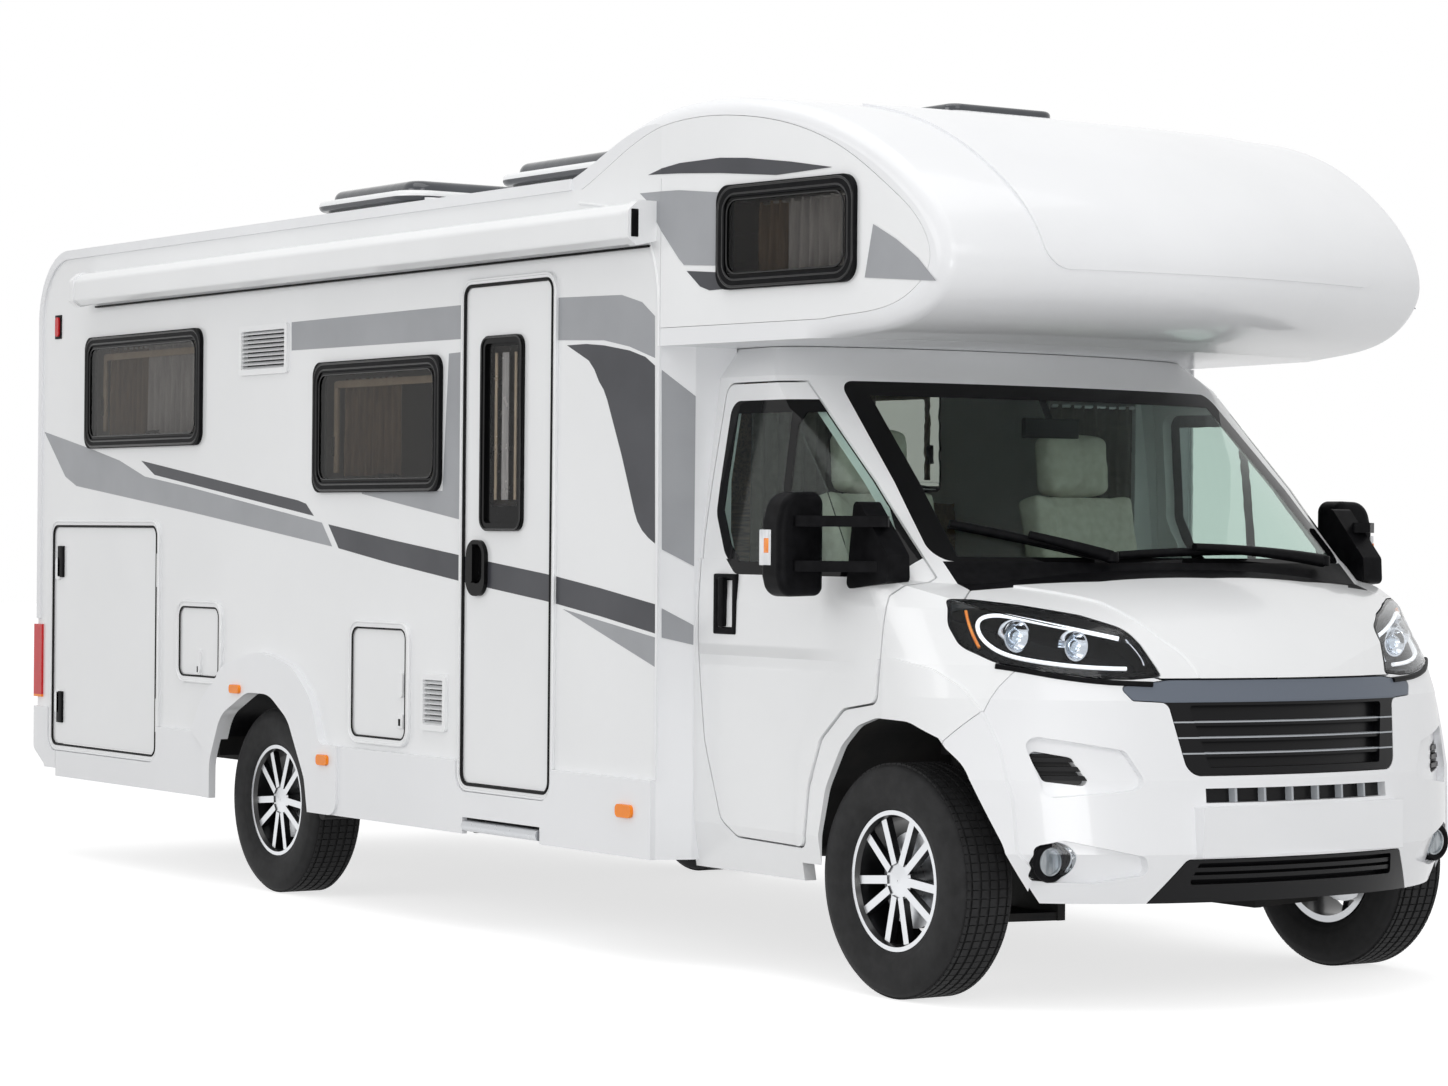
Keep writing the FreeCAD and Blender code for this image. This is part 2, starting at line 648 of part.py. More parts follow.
def cab_junction(hull):
    pieces = []
    for side in LEFT_AND_RIGHT:
        outline = [
            (BODY_FRONT_X, side * BODY_HALF_WIDTH),
            (BODY_FRONT_X, side * 880),
            (CAB_REAR_X + 22, side * 880),
            (CAB_REAR_X + 22, side * (CAB_HALF_WIDTH + 8)),
        ]
        filler = plan_prism(outline, SKIRT_BOTTOM_Z, ALCOVE_BOTTOM_Z)
        low, high = sorted((side * BODY_HALF_WIDTH, side * (BODY_HALF_WIDTH + TRIM_PROUD - 2)))
        bead = block(BODY_FRONT_X - 1, BODY_FRONT_X + 10, low, high, SKIRT_TOP_Z + 4, ALCOVE_BOTTOM_Z - 2)
        pieces.append(filler.cut(hull).fuse(bead))
    return pieces


# Skirts and bumper

def skirt(side):
    inner = side * BODY_HALF_WIDTH
    outer = side * (BODY_HALF_WIDTH + SKIRT_PROUD)
    low, high = sorted((inner, outer))
    rear = BODY_REAR_X + 240
    panel = block(rear, BODY_FRONT_X, low, high, SKIRT_BOTTOM_Z, SKIRT_TOP_Z)
    low, high = sorted((inner, side * (BODY_HALF_WIDTH + FLARE_PROUD)))
    x = REAR_AXLE_X
    flare = side_prism([
        (x - 450, SKIRT_BOTTOM_Z), (x + 690, SKIRT_BOTTOM_Z), (x + 690, SKIRT_TOP_Z + 2), (x + 552, SKIRT_TOP_Z + 2),
        (x + 478, 790), (x + 320, 905), (x + 40, 960), (x - 280, 890), (x - 470, 740), (x - 555, SKIRT_TOP_Z),
        (x - 450, SKIRT_TOP_Z - 60),
    ], low, high, [0, 60, 0, 40, 200, 200, 500, 200, 200, 0, 0])
    skin = panel.fuse(flare).removeSplitter()
    tools = [wheel_box(side, 0)]
    low, high = sorted((side * 1000, side * 1300))
    doors = [GARAGE_DOOR] + ([ENTRY_DOOR, CASSETTE_HATCH] if side < 0 else [])
    for door in doors:
        tools.append(rect_panel(inset_rect(door, -SEAM), low, high, DOOR_RADIUS + SEAM))
    if side < 0:
        tools.append(block(375, 905, low, high, SKIRT_BOTTOM_Z - 5, 412))
    return cut(skin, tools)


def rear_bumper():
    reach = BODY_HALF_WIDTH + SKIRT_PROUD
    rear = TAIL_X
    front = BODY_REAR_X + 240 - SEAM
    outline = [(front, -reach), (front, reach), (rear, reach), (rear, -reach)]
    outer = plan_prism(outline, 386, 648, [0, 0, 110, 110])
    inner_outline = [(front + 5, -reach + 20), (front + 5, reach - 20), (rear + 22, reach - 20),
                     (rear + 22, -reach + 20)]
    inner = plan_prism(inner_outline, 370, 624, [0, 0, 90, 90])
    bumper = outer.cut(inner)
    keep_out = block(BODY_REAR_X, front + 20, -BODY_HALF_WIDTH, BODY_HALF_WIDTH, WALL_BOTTOM_Z - 2, 700)
    slope = side_prism([(rear - 40, 380), (rear + 202, 380), (rear + 202, 398), (rear + 38, 493), (rear - 40, 560)],
                       -1400, 1400)
    shell = cut(bumper, [keep_out, slope])
    garage = rect_panel(inset_rect(GARAGE_DOOR, -SEAM), -1400, 1400, DOOR_RADIUS + SEAM)
    return shell.cut(garage)


def lamp_pad(x, z, width, height, y_face, side, proud):
    low, high = sorted((side * y_face, side * (y_face + proud)))
    return side_panel(x - width / 2, x + width / 2, z - height / 2, z + height / 2, low, high, min(width, height) / 2.5)


def marker_and_tail_lamps():
    pieces = []
    for side in LEFT_AND_RIGHT:
        pieces.append(lamp_pad(REAR_AXLE_X - 150, 800, 84, 34, BODY_HALF_WIDTH + FLARE_PROUD, side, 12))
        pieces.append(lamp_pad(REAR_AXLE_X + 590, 559, 84, 40, BODY_HALF_WIDTH + FLARE_PROUD, side, 12))
        pieces.append(lamp_pad(1453, 505, 96, 44, BODY_HALF_WIDTH + SKIRT_PROUD, side, 12))
        pieces.append(lamp_pad(-3201, 2314, 34, 84, BODY_HALF_WIDTH, side, 12))
        low, high = sorted((side * (BODY_HALF_WIDTH - 130), side * (BODY_HALF_WIDTH + 10)))
        cluster = block(BODY_REAR_X - 22, BODY_REAR_X + 60, low, high, 690, 1010)
        body = block(BODY_REAR_X, BODY_REAR_X + 80, -BODY_HALF_WIDTH, BODY_HALF_WIDTH, 600, 1100)
        pieces.append(cluster.cut(body))
    return pieces


# Windows, frames, vents and roof fittings

def window_ring(rect, y_face, side):
    outer0, outer1 = sorted((side * y_face, side * (y_face + WINDOW_PROUD)))
    flange = rect_ring(rect, WINDOW_RING, outer0, outer1, WINDOW_RADIUS)
    inner0, inner1 = sorted((side * y_face, side * (y_face - WALL)))
    sleeve = rect_ring(inset_rect(rect, WINDOW_RING - 12), 12, inner0, inner1, WINDOW_RADIUS - 20)
    return flange.fuse(sleeve).removeSplitter()


def window_pane(rect, y_face, side):
    low, high = sorted((side * (y_face - 2), side * (y_face + 10)))
    return rect_panel(inset_rect(rect, WINDOW_RING + PANE_GAP), low, high, WINDOW_RADIUS - WINDOW_RING + 14)


def onto_alcove(shape, side):
    """Lays an upright piece drawn at the body's side against the tapering alcove panel."""
    angle = math.degrees(math.atan(ALCOVE_TAPER))
    shape.rotate(vec(BODY_FRONT_X, side * BODY_HALF_WIDTH, 0), vec(0, 0, 1), -side * angle)
    return shape


def build_windows():
    rings = []
    panes = []
    for side in LEFT_AND_RIGHT:
        for rect in (REAR_WINDOW, DINETTE_WINDOW):
            rings.append(window_ring(rect, BODY_HALF_WIDTH, side))
            panes.append(window_pane(rect, BODY_HALF_WIDTH, side))
        rings.append(onto_alcove(window_ring(ALCOVE_WINDOW, BODY_HALF_WIDTH, side), side))
        panes.append(onto_alcove(window_pane(ALCOVE_WINDOW, BODY_HALF_WIDTH, side), side))
    save("window_frames", rings)
    save("window_panes", panes)


def opening_frame(rect, side):
    low, high = sorted((side * (BODY_HALF_WIDTH - WALL), side * (BODY_HALF_WIDTH + FRAME_PROUD)))
    ring = rect_ring(inset_rect(rect, 6), FRAME_RING - 6, low, high, DOOR_RADIUS - 6)
    low, high = sorted((side * BODY_HALF_WIDTH, side * (BODY_HALF_WIDTH + FRAME_PROUD)))
    lip = rect_ring(rect, 12, low, high, DOOR_RADIUS)
    return ring.fuse(lip).removeSplitter()


def louvre_vent(rect, count):
    y_face = -BODY_HALF_WIDTH
    ring = rect_ring(rect, 22, y_face - 12, y_face, 14)
    x0, x1, z0, z1 = inset_rect(rect, 20)
    pitch = (z1 - z0) / count
    slats = []
    for index in range(count):
        z = z0 + (index + 0.35) * pitch
        slat = cross_prism([(y_face - 10, z - 3), (y_face - 7, z - 5), (y_face + 12, z + 6), (y_face + 9, z + 9)],
                           x0 - 2, x1 + 2)
        slats.append(slat)
    return fused([ring] + slats)


def wall_frames():
    pieces = [opening_frame(GARAGE_DOOR, side) for side in LEFT_AND_RIGHT]
    pieces += [opening_frame(rect, -1) for rect in (ENTRY_DOOR, CASSETTE_HATCH, GAS_HATCH)]
    pieces.append(louvre_vent(FRIDGE_VENT, 9))
    pieces.append(louvre_vent(HEATER_VENT, 9))
    return pieces


BASE_HEIGHT = 50.0
PANE_HEIGHT = 100.0
BRIM_HEIGHT = 44.0
DOME_HEIGHT = 46.0


def roof_light(x):
    """A white base, a white brim above the tinted side panes, and a white fairing behind."""
    half = ROOF_LIGHT_SIZE / 2
    z = ROOF_TOP_Z
    base = square_prism(x, half - 40, z, z + BASE_HEIGHT, 90)
    z += BASE_HEIGHT + PANE_HEIGHT
    brim = square_prism(x, half, z, z + BRIM_HEIGHT, 130)
    brim = brim.makeFillet(BRIM_HEIGHT / 2 - 2, [e for e in brim.Edges if e.BoundBox.ZLength < 1])
    fairing = side_prism([(x + half - 60, ROOF_TOP_Z), (x + half + 420, ROOF_TOP_Z), (x + half + 300, ROOF_TOP_Z + 60),
                          (x + half + 40, z + 10), (x + half - 60, z + 14)], 80 - half, half - 80, [0, 0, 120, 60, 0])
    opening = square_prism(x, half - 60, ROOF_TOP_Z - 1, z + BRIM_HEIGHT + 1, 80)
    return cut(fused([base, brim, fairing]), [opening])


def roof_dome(x):
    """The tinted panes below the brim and the tinted dome above it."""
    half = ROOF_LIGHT_SIZE / 2
    low = ROOF_TOP_Z + BASE_HEIGHT
    brim_top = low + PANE_HEIGHT + BRIM_HEIGHT
    panes = square_prism(x, half - 40, low, low + PANE_HEIGHT, 90).cut(square_prism(x, half - 60, low - 1, 3000, 80))
    fairing_place = block(x + half - 62, x + half, -half, half, low - 1, low + PANE_HEIGHT + 1)
    cap = square_prism(x, half - 61, brim_top - 12, brim_top + DOME_HEIGHT, 79)
    upper = [e for e in cap.Edges if e.BoundBox.ZLength < 1 and e.BoundBox.ZMin > brim_top]
    return [panes.cut(fairing_place), cap.makeFillet(DOME_HEIGHT - 6, upper)]


def alcove_light():
    """The small roof light on the alcove's crown: its white base and its tinted cover."""
    ring = square_prism(ALCOVE_LIGHT_X, ALCOVE_LIGHT_HALF, ROOF_TOP_Z, 2866, 60).cut(rounded_alcove())
    ring = ring.cut(square_prism(ALCOVE_LIGHT_X, ALCOVE_LIGHT_HALF - 40, ROOF_TOP_Z - 1, 3000, 40))
    cover = square_prism(ALCOVE_LIGHT_X, ALCOVE_LIGHT_HALF - 10, 2866, 2892, 50)
    upper = [e for e in cover.Edges if e.BoundBox.ZLength < 1 and e.BoundBox.ZMin > 2880]
    return ring, cover.makeFillet(16, upper)


def build_roof_lights():
    ring, cover = alcove_light()
    save("roof_lights", [roof_light(x) for x in ROOF_LIGHT_XS] + [ring])
    save("roof_domes", sum([roof_dome(x) for x in ROOF_LIGHT_XS], []) + [cover])


AWNING_X0 = -2850.0
AWNING_X1 = 1580.0
AWNING_Z0 = 2386.0
AWNING_Z1 = 2524.0
AWNING_Y = BODY_HALF_WIDTH + 107.0


def awning_case():
    outline = [(-BODY_HALF_WIDTH, AWNING_Z0 + 20), (-AWNING_Y + 30, AWNING_Z0), (-AWNING_Y, AWNING_Z0 + 20),
               (-AWNING_Y, AWNING_Z1 - 34), (-AWNING_Y + 36, AWNING_Z1), (-BODY_HALF_WIDTH, AWNING_Z1)]
    case = cross_prism(outline, AWNING_X0 + 40, AWNING_X1 - 40, [0, 10, 10, 26, 26, 0])
    caps = []
    for x0, x1 in ((AWNING_X0, AWNING_X0 + 40), (AWNING_X1 - 40, AWNING_X1)):
        cap = [(-BODY_HALF_WIDTH, AWNING_Z0 + 12), (-AWNING_Y + 30, AWNING_Z0 - 6), (-AWNING_Y - 6, AWNING_Z0 + 18),
               (-AWNING_Y - 6, AWNING_Z1 - 30), (-AWNING_Y + 36, AWNING_Z1 + 6), (-BODY_HALF_WIDTH, AWNING_Z1 + 6)]
        caps.append(cross_prism(cap, x0, x1, [0, 10, 10, 26, 26, 0]))
    return fused([case] + caps)


# Cab hull: plan sections of the lower body, height by height.
# Each row: z, half width, end of the straight side, then nose points outward to centre.

LOWER_SECTIONS = (
    (330.0, 1008.0, 2760.0, ((3040.0, 925.0), (3240.0, 740.0), (3385.0, 437.0), (3440.0, 0.0))),
    (480.0, 1034.0, 2760.0, ((3085.0, 955.0), (3290.0, 765.0), (3430.0, 437.0), (3480.0, 0.0))),
    (700.0, 1040.0, 2760.0, ((3075.0, 965.0), (3270.0, 775.0), (3410.0, 437.0), (3466.0, 0.0))),
    (940.0, 1040.0, 2760.0, ((3035.0, 960.0), (3225.0, 770.0), (3365.0, 437.0), (3424.0, 0.0))),
    (1040.0, 1038.0, 2720.0, ((3000.0, 955.0), (3185.0, 765.0), (3325.0, 430.0), (3385.0, 0.0))),
    (1210.0, 1034.0, 2640.0, ((2890.0, 945.0), (3070.0, 765.0), (3240.0, 430.0), (3310.0, 0.0))),
    (1350.0, 1022.0, 2540.0, ((2750.0, 935.0), (2900.0, 765.0), (3060.0, 430.0), (3120.0, 0.0))),
)


def nose_section(z, half, side_end, nose, inset, rear_x):
    """A closed plan outline: straight sides and one smooth curve round the nose."""
    shrink = (half - inset) / half
    left = [vec(side_end, half - inset, z)]
    for x, y in nose[:-1]:
        left.append(vec(x - inset * 0.9, y * shrink, z))
    tip = vec(nose[-1][0] - inset, 0, z)
    right = [vec(p.x, -p.y, p.z) for p in reversed(left)]
    curve = Part.BSplineCurve()
    curve.interpolate(left + [tip] + right)
    rear_left = vec(rear_x, half - inset, z)
    rear_right = vec(rear_x, inset - half, z)
    return Part.Wire([
        Part.makeLine(rear_left, left[0]),
        curve.toShape(),
        Part.makeLine(right[-1], rear_right),
        Part.makeLine(rear_right, rear_left),
    ])


BONNET_LINES = (
    (-1120.0, ((2450.0, 1312.0), (2700.0, 1268.0), (2900.0, 1180.0), (3080.0, 1050.0), (3200.0, 900.0))),
    (-560.0, ((2450.0, 1352.0), (2800.0, 1318.0), (3040.0, 1250.0), (3230.0, 1130.0), (3330.0, 1000.0))),
    (0.0, ((2450.0, 1365.0), (2860.0, 1335.0), (3110.0, 1268.0), (3290.0, 1150.0), (3400.0, 1000.0))),
    (560.0, ((2450.0, 1352.0), (2800.0, 1318.0), (3040.0, 1250.0), (3230.0, 1130.0), (3330.0, 1000.0))),
    (1120.0, ((2450.0, 1312.0), (2700.0, 1268.0), (2900.0, 1180.0), (3080.0, 1050.0), (3200.0, 900.0))),
)


def above_bonnet(inset):
    """Everything above the bonnet's crowned surface."""
    wires = []
    for y, line in BONNET_LINES:
        points = [vec(x - inset * 0.5, y, z - inset) for x, z in line]
        curve = Part.BSplineCurve()
        curve.interpolate(points)
        last = points[-1]
        far = vec(3700, y, last.z)
        top_far = vec(3700, y, 1700)
        top_near = vec(points[0].x, y, 1700)
        wires.append(Part.Wire([
            curve.toShape(),
            Part.makeLine(last, far),
            Part.makeLine(far, top_far),
            Part.makeLine(top_far, top_near),
            Part.makeLine(top_near, points[0]),
        ]))
    return Part.makeLoft(wires, True, False)


GREENHOUSE_SECTIONS = (
    (1240.0, 1026.0, 2560.0, ((2760.0, 945.0), (2850.0, 836.0), (2955.0, 430.0), (2990.0, 0.0))),
    (1600.0, 990.0, 2300.0, ((2420.0, 900.0), (2480.0, 800.0), (2565.0, 410.0), (2595.0, 0.0))),
    (1950.0, 945.0, 1960.0, ((2050.0, 860.0), (2095.0, 762.0), (2180.0, 390.0), (2210.0, 0.0))),
    (2048.0, 870.0, 1860.0, ((1940.0, 790.0), (1980.0, 700.0), (2065.0, 360.0), (2092.0, 0.0))),
)


def cab_hull(inset, rear_x):
    lower = Part.makeLoft([nose_section(z, half, end, nose, inset, rear_x)
                           for z, half, end, nose in LOWER_SECTIONS], True, True)
    lower = lower.cut(above_bonnet(inset))
    sections = []
    for z, half, end, nose in GREENHOUSE_SECTIONS:
        height = z - inset if z > CAB_ROOF_Z else z
        sections.append(nose_section(height, half, end, nose, inset, rear_x))
    upper = Part.makeLoft(sections, True, True)
    return lower.fuse(upper).removeSplitter()


DOOR_OUTLINE = [
    (1700.0, 1925.0), (1658.0, 1414.0), (1668.0, 1080.0), (1714.0, 758.0), (1805.0, 500.0), (1893.0, 448.0),
    (2270.0, 440.0), (2302.0, 631.0), (2371.0, 790.0), (2493.0, 890.0), (2660.0, 915.0), (2690.0, 1246.0),
    (2748.0, 1290.0), (2735.0, 1372.0), (2560.0, 1590.0), (2370.0, 1775.0), (2212.0, 1870.0), (2083.0, 1925.0),
]
DOOR_RADII = [40, 300, 300, 200, 60, 60, 30, 150, 80, 80, 30, 20, 20, 30, 600, 300, 80, 80]
DOOR_WINDOW = [
    (1735.0, 1870.0), (1712.0, 1500.0), (1780.0, 1370.0), (1860.0, 1300.0), (2655.0, 1300.0), (2690.0, 1372.0),
    (2525.0, 1570.0), (2300.0, 1790.0), (2190.0, 1868.0),
]
DOOR_WINDOW_RADII = [50, 80, 80, 60, 30, 30, 500, 200, 60]


def door_region(side, grow):
    low, high = sorted((side * (884 - grow), side * 1200))
    return side_prism(DOOR_OUTLINE, low, high, DOOR_RADII, grow)


def door_window_region(side):
    low, high = sorted((side * 884, side * 1200))
    return side_prism(DOOR_WINDOW, low, high, DOOR_WINDOW_RADII)


# Front wheel arch: a wide house inside for the steered tyre, and a closer lip in the outer skin
WHEEL_HOUSE_Y = 565.0
ARCH_LIP_Y = CAB_HALF_WIDTH - 18.0
ARCH_HOUSE = [
    (-450.0, 250.0), (-450.0, 470.0), (-385.0, 640.0), (-215.0, FRONT_ARCH_TOP_Z), (190.0, FRONT_ARCH_TOP_Z),
    (345.0, 740.0), (455.0, 500.0), (500.0, 250.0),
]
ARCH_LIP = [
    (-346.0, 250.0), (-346.0, 480.0), (-303.0, 634.0), (-217.0, 772.0), (-135.0, 838.0), (-35.0, FRONT_ARCH_TOP_Z + 4),
    (138.0, FRONT_ARCH_TOP_Z), (290.0, 807.0), (387.0, 708.0), (464.0, 487.0), (575.0, 250.0),
]


def ahead_of_axle(points):
    return [(FRONT_AXLE_X + ahead, z) for ahead, z in points]


def front_arch(side):
    low, high = sorted((side * WHEEL_HOUSE_Y, side * ARCH_LIP_Y))
    house = side_prism(ahead_of_axle(ARCH_HOUSE), low, high, [0, 150, 150, 150, 150, 150, 200, 0])
    low, high = sorted((side * (ARCH_LIP_Y - 2), side * 1200))
    lip = side_prism(ahead_of_axle(ARCH_LIP), low, high, [0, 120, 150, 120, 100, 150, 150, 120, 150, 200, 0])
    return house.fuse(lip)


BONNET_PLAN = [
    (2868.0, -838.0), (2950.0, -944.0), (3480.0, -944.0), (3480.0, 944.0), (2950.0, 944.0), (2868.0, 838.0),
    (2992.0, 430.0), (3030.0, 0.0), (2992.0, -430.0),
]
BONNET_FRONT_Z = 1006.0
LAMP_INNER_Y = 468.0
NOSE_SPLIT_OUTER_Z = 1165.0


def bonnet_region(grow):
    """What lifts: inside the wing seams and above a line through the middle of the headlamps."""
    plan = plan_prism(BONNET_PLAN, BONNET_FRONT_Z - grow - 100, 1500, 0, grow)
    front = [(-LAMP_INNER_Y, BONNET_FRONT_Z), (LAMP_INNER_Y, BONNET_FRONT_Z), (1000, NOSE_SPLIT_OUTER_Z),
             (1000, 1500), (-1000, 1500), (-1000, NOSE_SPLIT_OUTER_Z)]
    return plan.common(cross_prism(front, 2600, 3700, 0, grow))


WING_SEAM = [(2930.0, 740.0), (2965.0, 806.0), (3069.0, 900.0), (3094.0, 978.0), (3122.0, 1035.0), (3150.0, 1110.0)]


def bumper_region(grow):
    """The front moulding: ahead of the wing seams and below the line through the headlamps."""
    side_view = side_prism([(2900, 200), (3700, 200), (3700, 1110)] + WING_SEAM[::-1] + [(2900, 700)], -1200, 1200, 0, grow)
    front = [(-1200, 200), (1200, 200), (1200, NOSE_SPLIT_OUTER_Z + 58), (LAMP_INNER_Y, BONNET_FRONT_Z - GAP),
             (-LAMP_INNER_Y, BONNET_FRONT_Z - GAP), (-1200, NOSE_SPLIT_OUTER_Z + 58)]
    return side_view.common(cross_prism(front, 2600, 3800, 0, grow))


WINDSCREEN_LOW_Z = 1352.0
WINDSCREEN_HIGH_Z = 1932.0


def windscreen_region(grow):
    """A forward-facing outline on the greenhouse's curved front."""
    outline = [
        (-862, WINDSCREEN_LOW_Z), (862, WINDSCREEN_LOW_Z), (792, WINDSCREEN_HIGH_Z), (-792, WINDSCREEN_HIGH_Z),
    ]
    return cross_prism(outline, 1900, 3100, 50, grow)


LAMP_OUTLINE = [
    (466.0, 1012.0), (560.0, 1004.0), (650.0, 1006.0), (807.0, 1028.0), (898.0, 1052.0), (950.0, 1096.0),
    (955.0, 1160.0), (935.0, 1236.0), (869.0, 1235.0), (762.0, 1220.0), (621.0, 1191.0), (518.0, 1150.0),
]
LAMP_RADII = [6, 60, 60, 60, 50, 40, 100, 14, 60, 100, 60, 60]


def lamp_region(side, grow):
    """The headlamp's outline, seen from ahead, through the corner of the nose."""
    outline = [(side * y, z) for y, z in LAMP_OUTLINE]
    return cross_prism(outline, 2780, 3600, LAMP_RADII, grow)


GRILLE_HALF = 423.0
GRILLE_LOW_Z = 716.0
BAR_LOW_Z = 935.0
BAR_HIGH_Z = 1000.0


GRILLE_OPENING = [(-398.0, 925.0), (-352.0, 738.0), (352.0, 738.0), (398.0, 925.0)]
LOWER_OPENING = [(-418.0, 386.0), (418.0, 386.0), (396.0, 452.0), (-396.0, 452.0)]
SLAT_ZS = (776.0, 823.0, 870.0)
LOWER_SLAT_ZS = (408.0, 431.0)
SLAT_HEIGHT = 13.0
VENT_DEPTH = CAB_WALL - 3
FOG_DEPTH = 34.0
PLATE_DEPTH = 30.0
SLOT_HALF = 372.0
SLOT_LOW_Z = 632.0
SLOT_HIGH_Z = 676.0
SLOT_COUNT = 7
VENT_OUTLINE = [(852.0, 790.0), (752.0, 770.0), (704.0, 682.0), (822.0, 697.0)]
VENT_RECESS = [(874.0, 838.0), (614.0, 792.0), (551.0, 678.0), (832.0, 648.0)]
VENT_SLAT_ZS = (762.0, 735.0, 708.0)
FOG_RECESS = [(862.0, 400.0), (858.0, 505.0), (790.0, 524.0), (570.0, 474.0), (548.0, 420.0), (700.0, 392.0)]
NUMBER_PANEL = (3468.0, 413.0, 472.0, 622.0)


def grille_region(grow):
    right = [
        (-440, BAR_HIGH_Z), (-600, BAR_HIGH_Z - 20), (-572, BAR_LOW_Z + 6), (-GRILLE_HALF - 40, BAR_LOW_Z),
        (-GRILLE_HALF, GRILLE_LOW_Z),
    ]
    left = [(-y, z) for y, z in reversed(right)]
    return cross_prism(right + left, 3100, 3600, [60, 10, 10, 30, 50, 50, 30, 10, 10, 60], grow)


def lower_grille_region(grow):
    outline = [(-540, 322), (540, 322), (437, 462), (-437, 462)]
    return cross_prism(outline, 3100, 3600, [0, 0, 20, 20], grow)


def fog_region(side, radius):
    return cylinder((2900, side * 800, 456), (1, 0, 0), radius, 700)


COWL_HALF = 838.0
WING_OUTLINE = [(2697, 700), (2697, 1262), (2745, 1318), (2790, 1352), (3200, 1352), (3200, 700)]
ARCH_BAND = [
    (-475.0, 250.0), (-439.0, 752.0), (-291.0, 991.0), (-122.0, 1046.0), (66.0, 1054.0), (212.0, 1028.0),
    (314.0, 972.0), (375.0, 903.0), (429.0, 794.0), (470.0, 646.0), (482.0, 485.0), (600.0, 250.0),
]
ARCH_BAND_RADII = [0, 250, 200, 150, 200, 150, 100, 120, 150, 150, 100, 0]
BAND_RAISE = 8.0
BONNET_RAISE = 6.0
BONNET_PANEL = [(2840.0, -770.0), (3100.0, -520.0), (3275.0, -425.0), (3372.0, -330.0), (3560.0, -330.0),
                (3560.0, 330.0), (3372.0, 330.0), (3275.0, 425.0), (3100.0, 520.0), (2840.0, 770.0)]
LAMP_DEPTH = 90.0
HULLS = {}


def grown_hull(inset):
    """The cab's outer form moved inwards by inset, or outwards where it is negative. Each is made once."""
    if inset not in HULLS:
        HULLS[inset] = cab_hull(inset, CAB_REAR_X if inset <= 0 else CAB_REAR_X - 100)
    return HULLS[inset]


def layer(outside, inside, region):
    """What lies between two depths of the cab's skin, within a region."""
    return grown_hull(outside).common(region).cut(grown_hull(inside))


def mirrored_outline(points, side):
    return [(side * y, z) for y, z in points]


def grille_insert(opening, slat_zs):
    """A set-back plate with slats ahead of it, all following the skin's curve."""
    hole = cross_prism(opening, 3100, 3600, 10, 2)
    pieces = [layer(PLATE_DEPTH, PLATE_DEPTH + 8, hole)]
    for z in slat_zs:
        band = block(3100, 3600, -600, 600, z - SLAT_HEIGHT / 2, z + SLAT_HEIGHT / 2)
        pieces.append(layer(6, PLATE_DEPTH + 4, hole.common(band)))
    return pieces


def slot_region(clearance):
    return block(3100, 3600, clearance - SLOT_HALF, SLOT_HALF - clearance, SLOT_LOW_Z + clearance, SLOT_HIGH_Z - clearance)


def slot_row():
    """The row of slots above the number panel: a set-back plate and the bars between the slots."""
    region = slot_region(1)
    pieces = [layer(PLATE_DEPTH, PLATE_DEPTH + 8, region)]
    pitch = 2 * SLOT_HALF / SLOT_COUNT
    for index in range(1, SLOT_COUNT):
        y = index * pitch - SLOT_HALF
        bar = block(3100, 3600, y - 4, y + 4, SLOT_LOW_Z, SLOT_HIGH_Z)
        pieces.append(layer(3, PLATE_DEPTH + 4, region.common(bar)))
    return fused(pieces)


def air_vent(side):
    outline = mirrored_outline(VENT_OUTLINE, side)
    region = cross_prism(outline, 3000, 3600, 14, -1)
    pieces = [layer(VENT_DEPTH - 7, VENT_DEPTH, region)]
    for z in VENT_SLAT_ZS:
        band = block(3000, 3600, -900, 900, z - 7, z + 7)
        pieces.append(layer(16, VENT_DEPTH - 4, region.common(band)))
    return fused(pieces)


def grilles():
    bar_and_frame = layer(0, CAB_WALL, grille_region(0)).cut(cross_prism(GRILLE_OPENING, 3100, 3600, 10))
    upper = fused([bar_and_frame] + grille_insert(GRILLE_OPENING, SLAT_ZS))
    lip = layer(0, CAB_WALL, lower_grille_region(0)).cut(cross_prism(LOWER_OPENING, 3100, 3600, 10))
    lower = fused([lip] + grille_insert(LOWER_OPENING, LOWER_SLAT_ZS))
    upper = cut(upper, [lamp_region(side, SEAM) for side in LEFT_AND_RIGHT])
    return [upper, lower, slot_row()] + [air_vent(side) for side in LEFT_AND_RIGHT]


def raised_bands():
    """The swollen band round each front wheel's opening, ready to be shared among door, wing and bumper."""
    bands = []
    for side in LEFT_AND_RIGHT:
        low, high = sorted((side * 850, side * 1200))
        region = side_prism(ahead_of_axle(ARCH_BAND), low, high, ARCH_BAND_RADII).cut(front_arch(side))
        bands.append(grown_hull(-BAND_RAISE).common(region).cut(grown_hull(CAB_WALL)))
    return bands


def recesses(outline, radius, depth):
    """A shallow recess in the bumper's right side and its mirror image in the left."""
    right = cross_prism(mirrored_outline(outline, -1), 3000, 3600, radius).cut(grown_hull(depth))
    return [right, right.mirror(vec(0, 0, 0), vec(0, 1, 0))]


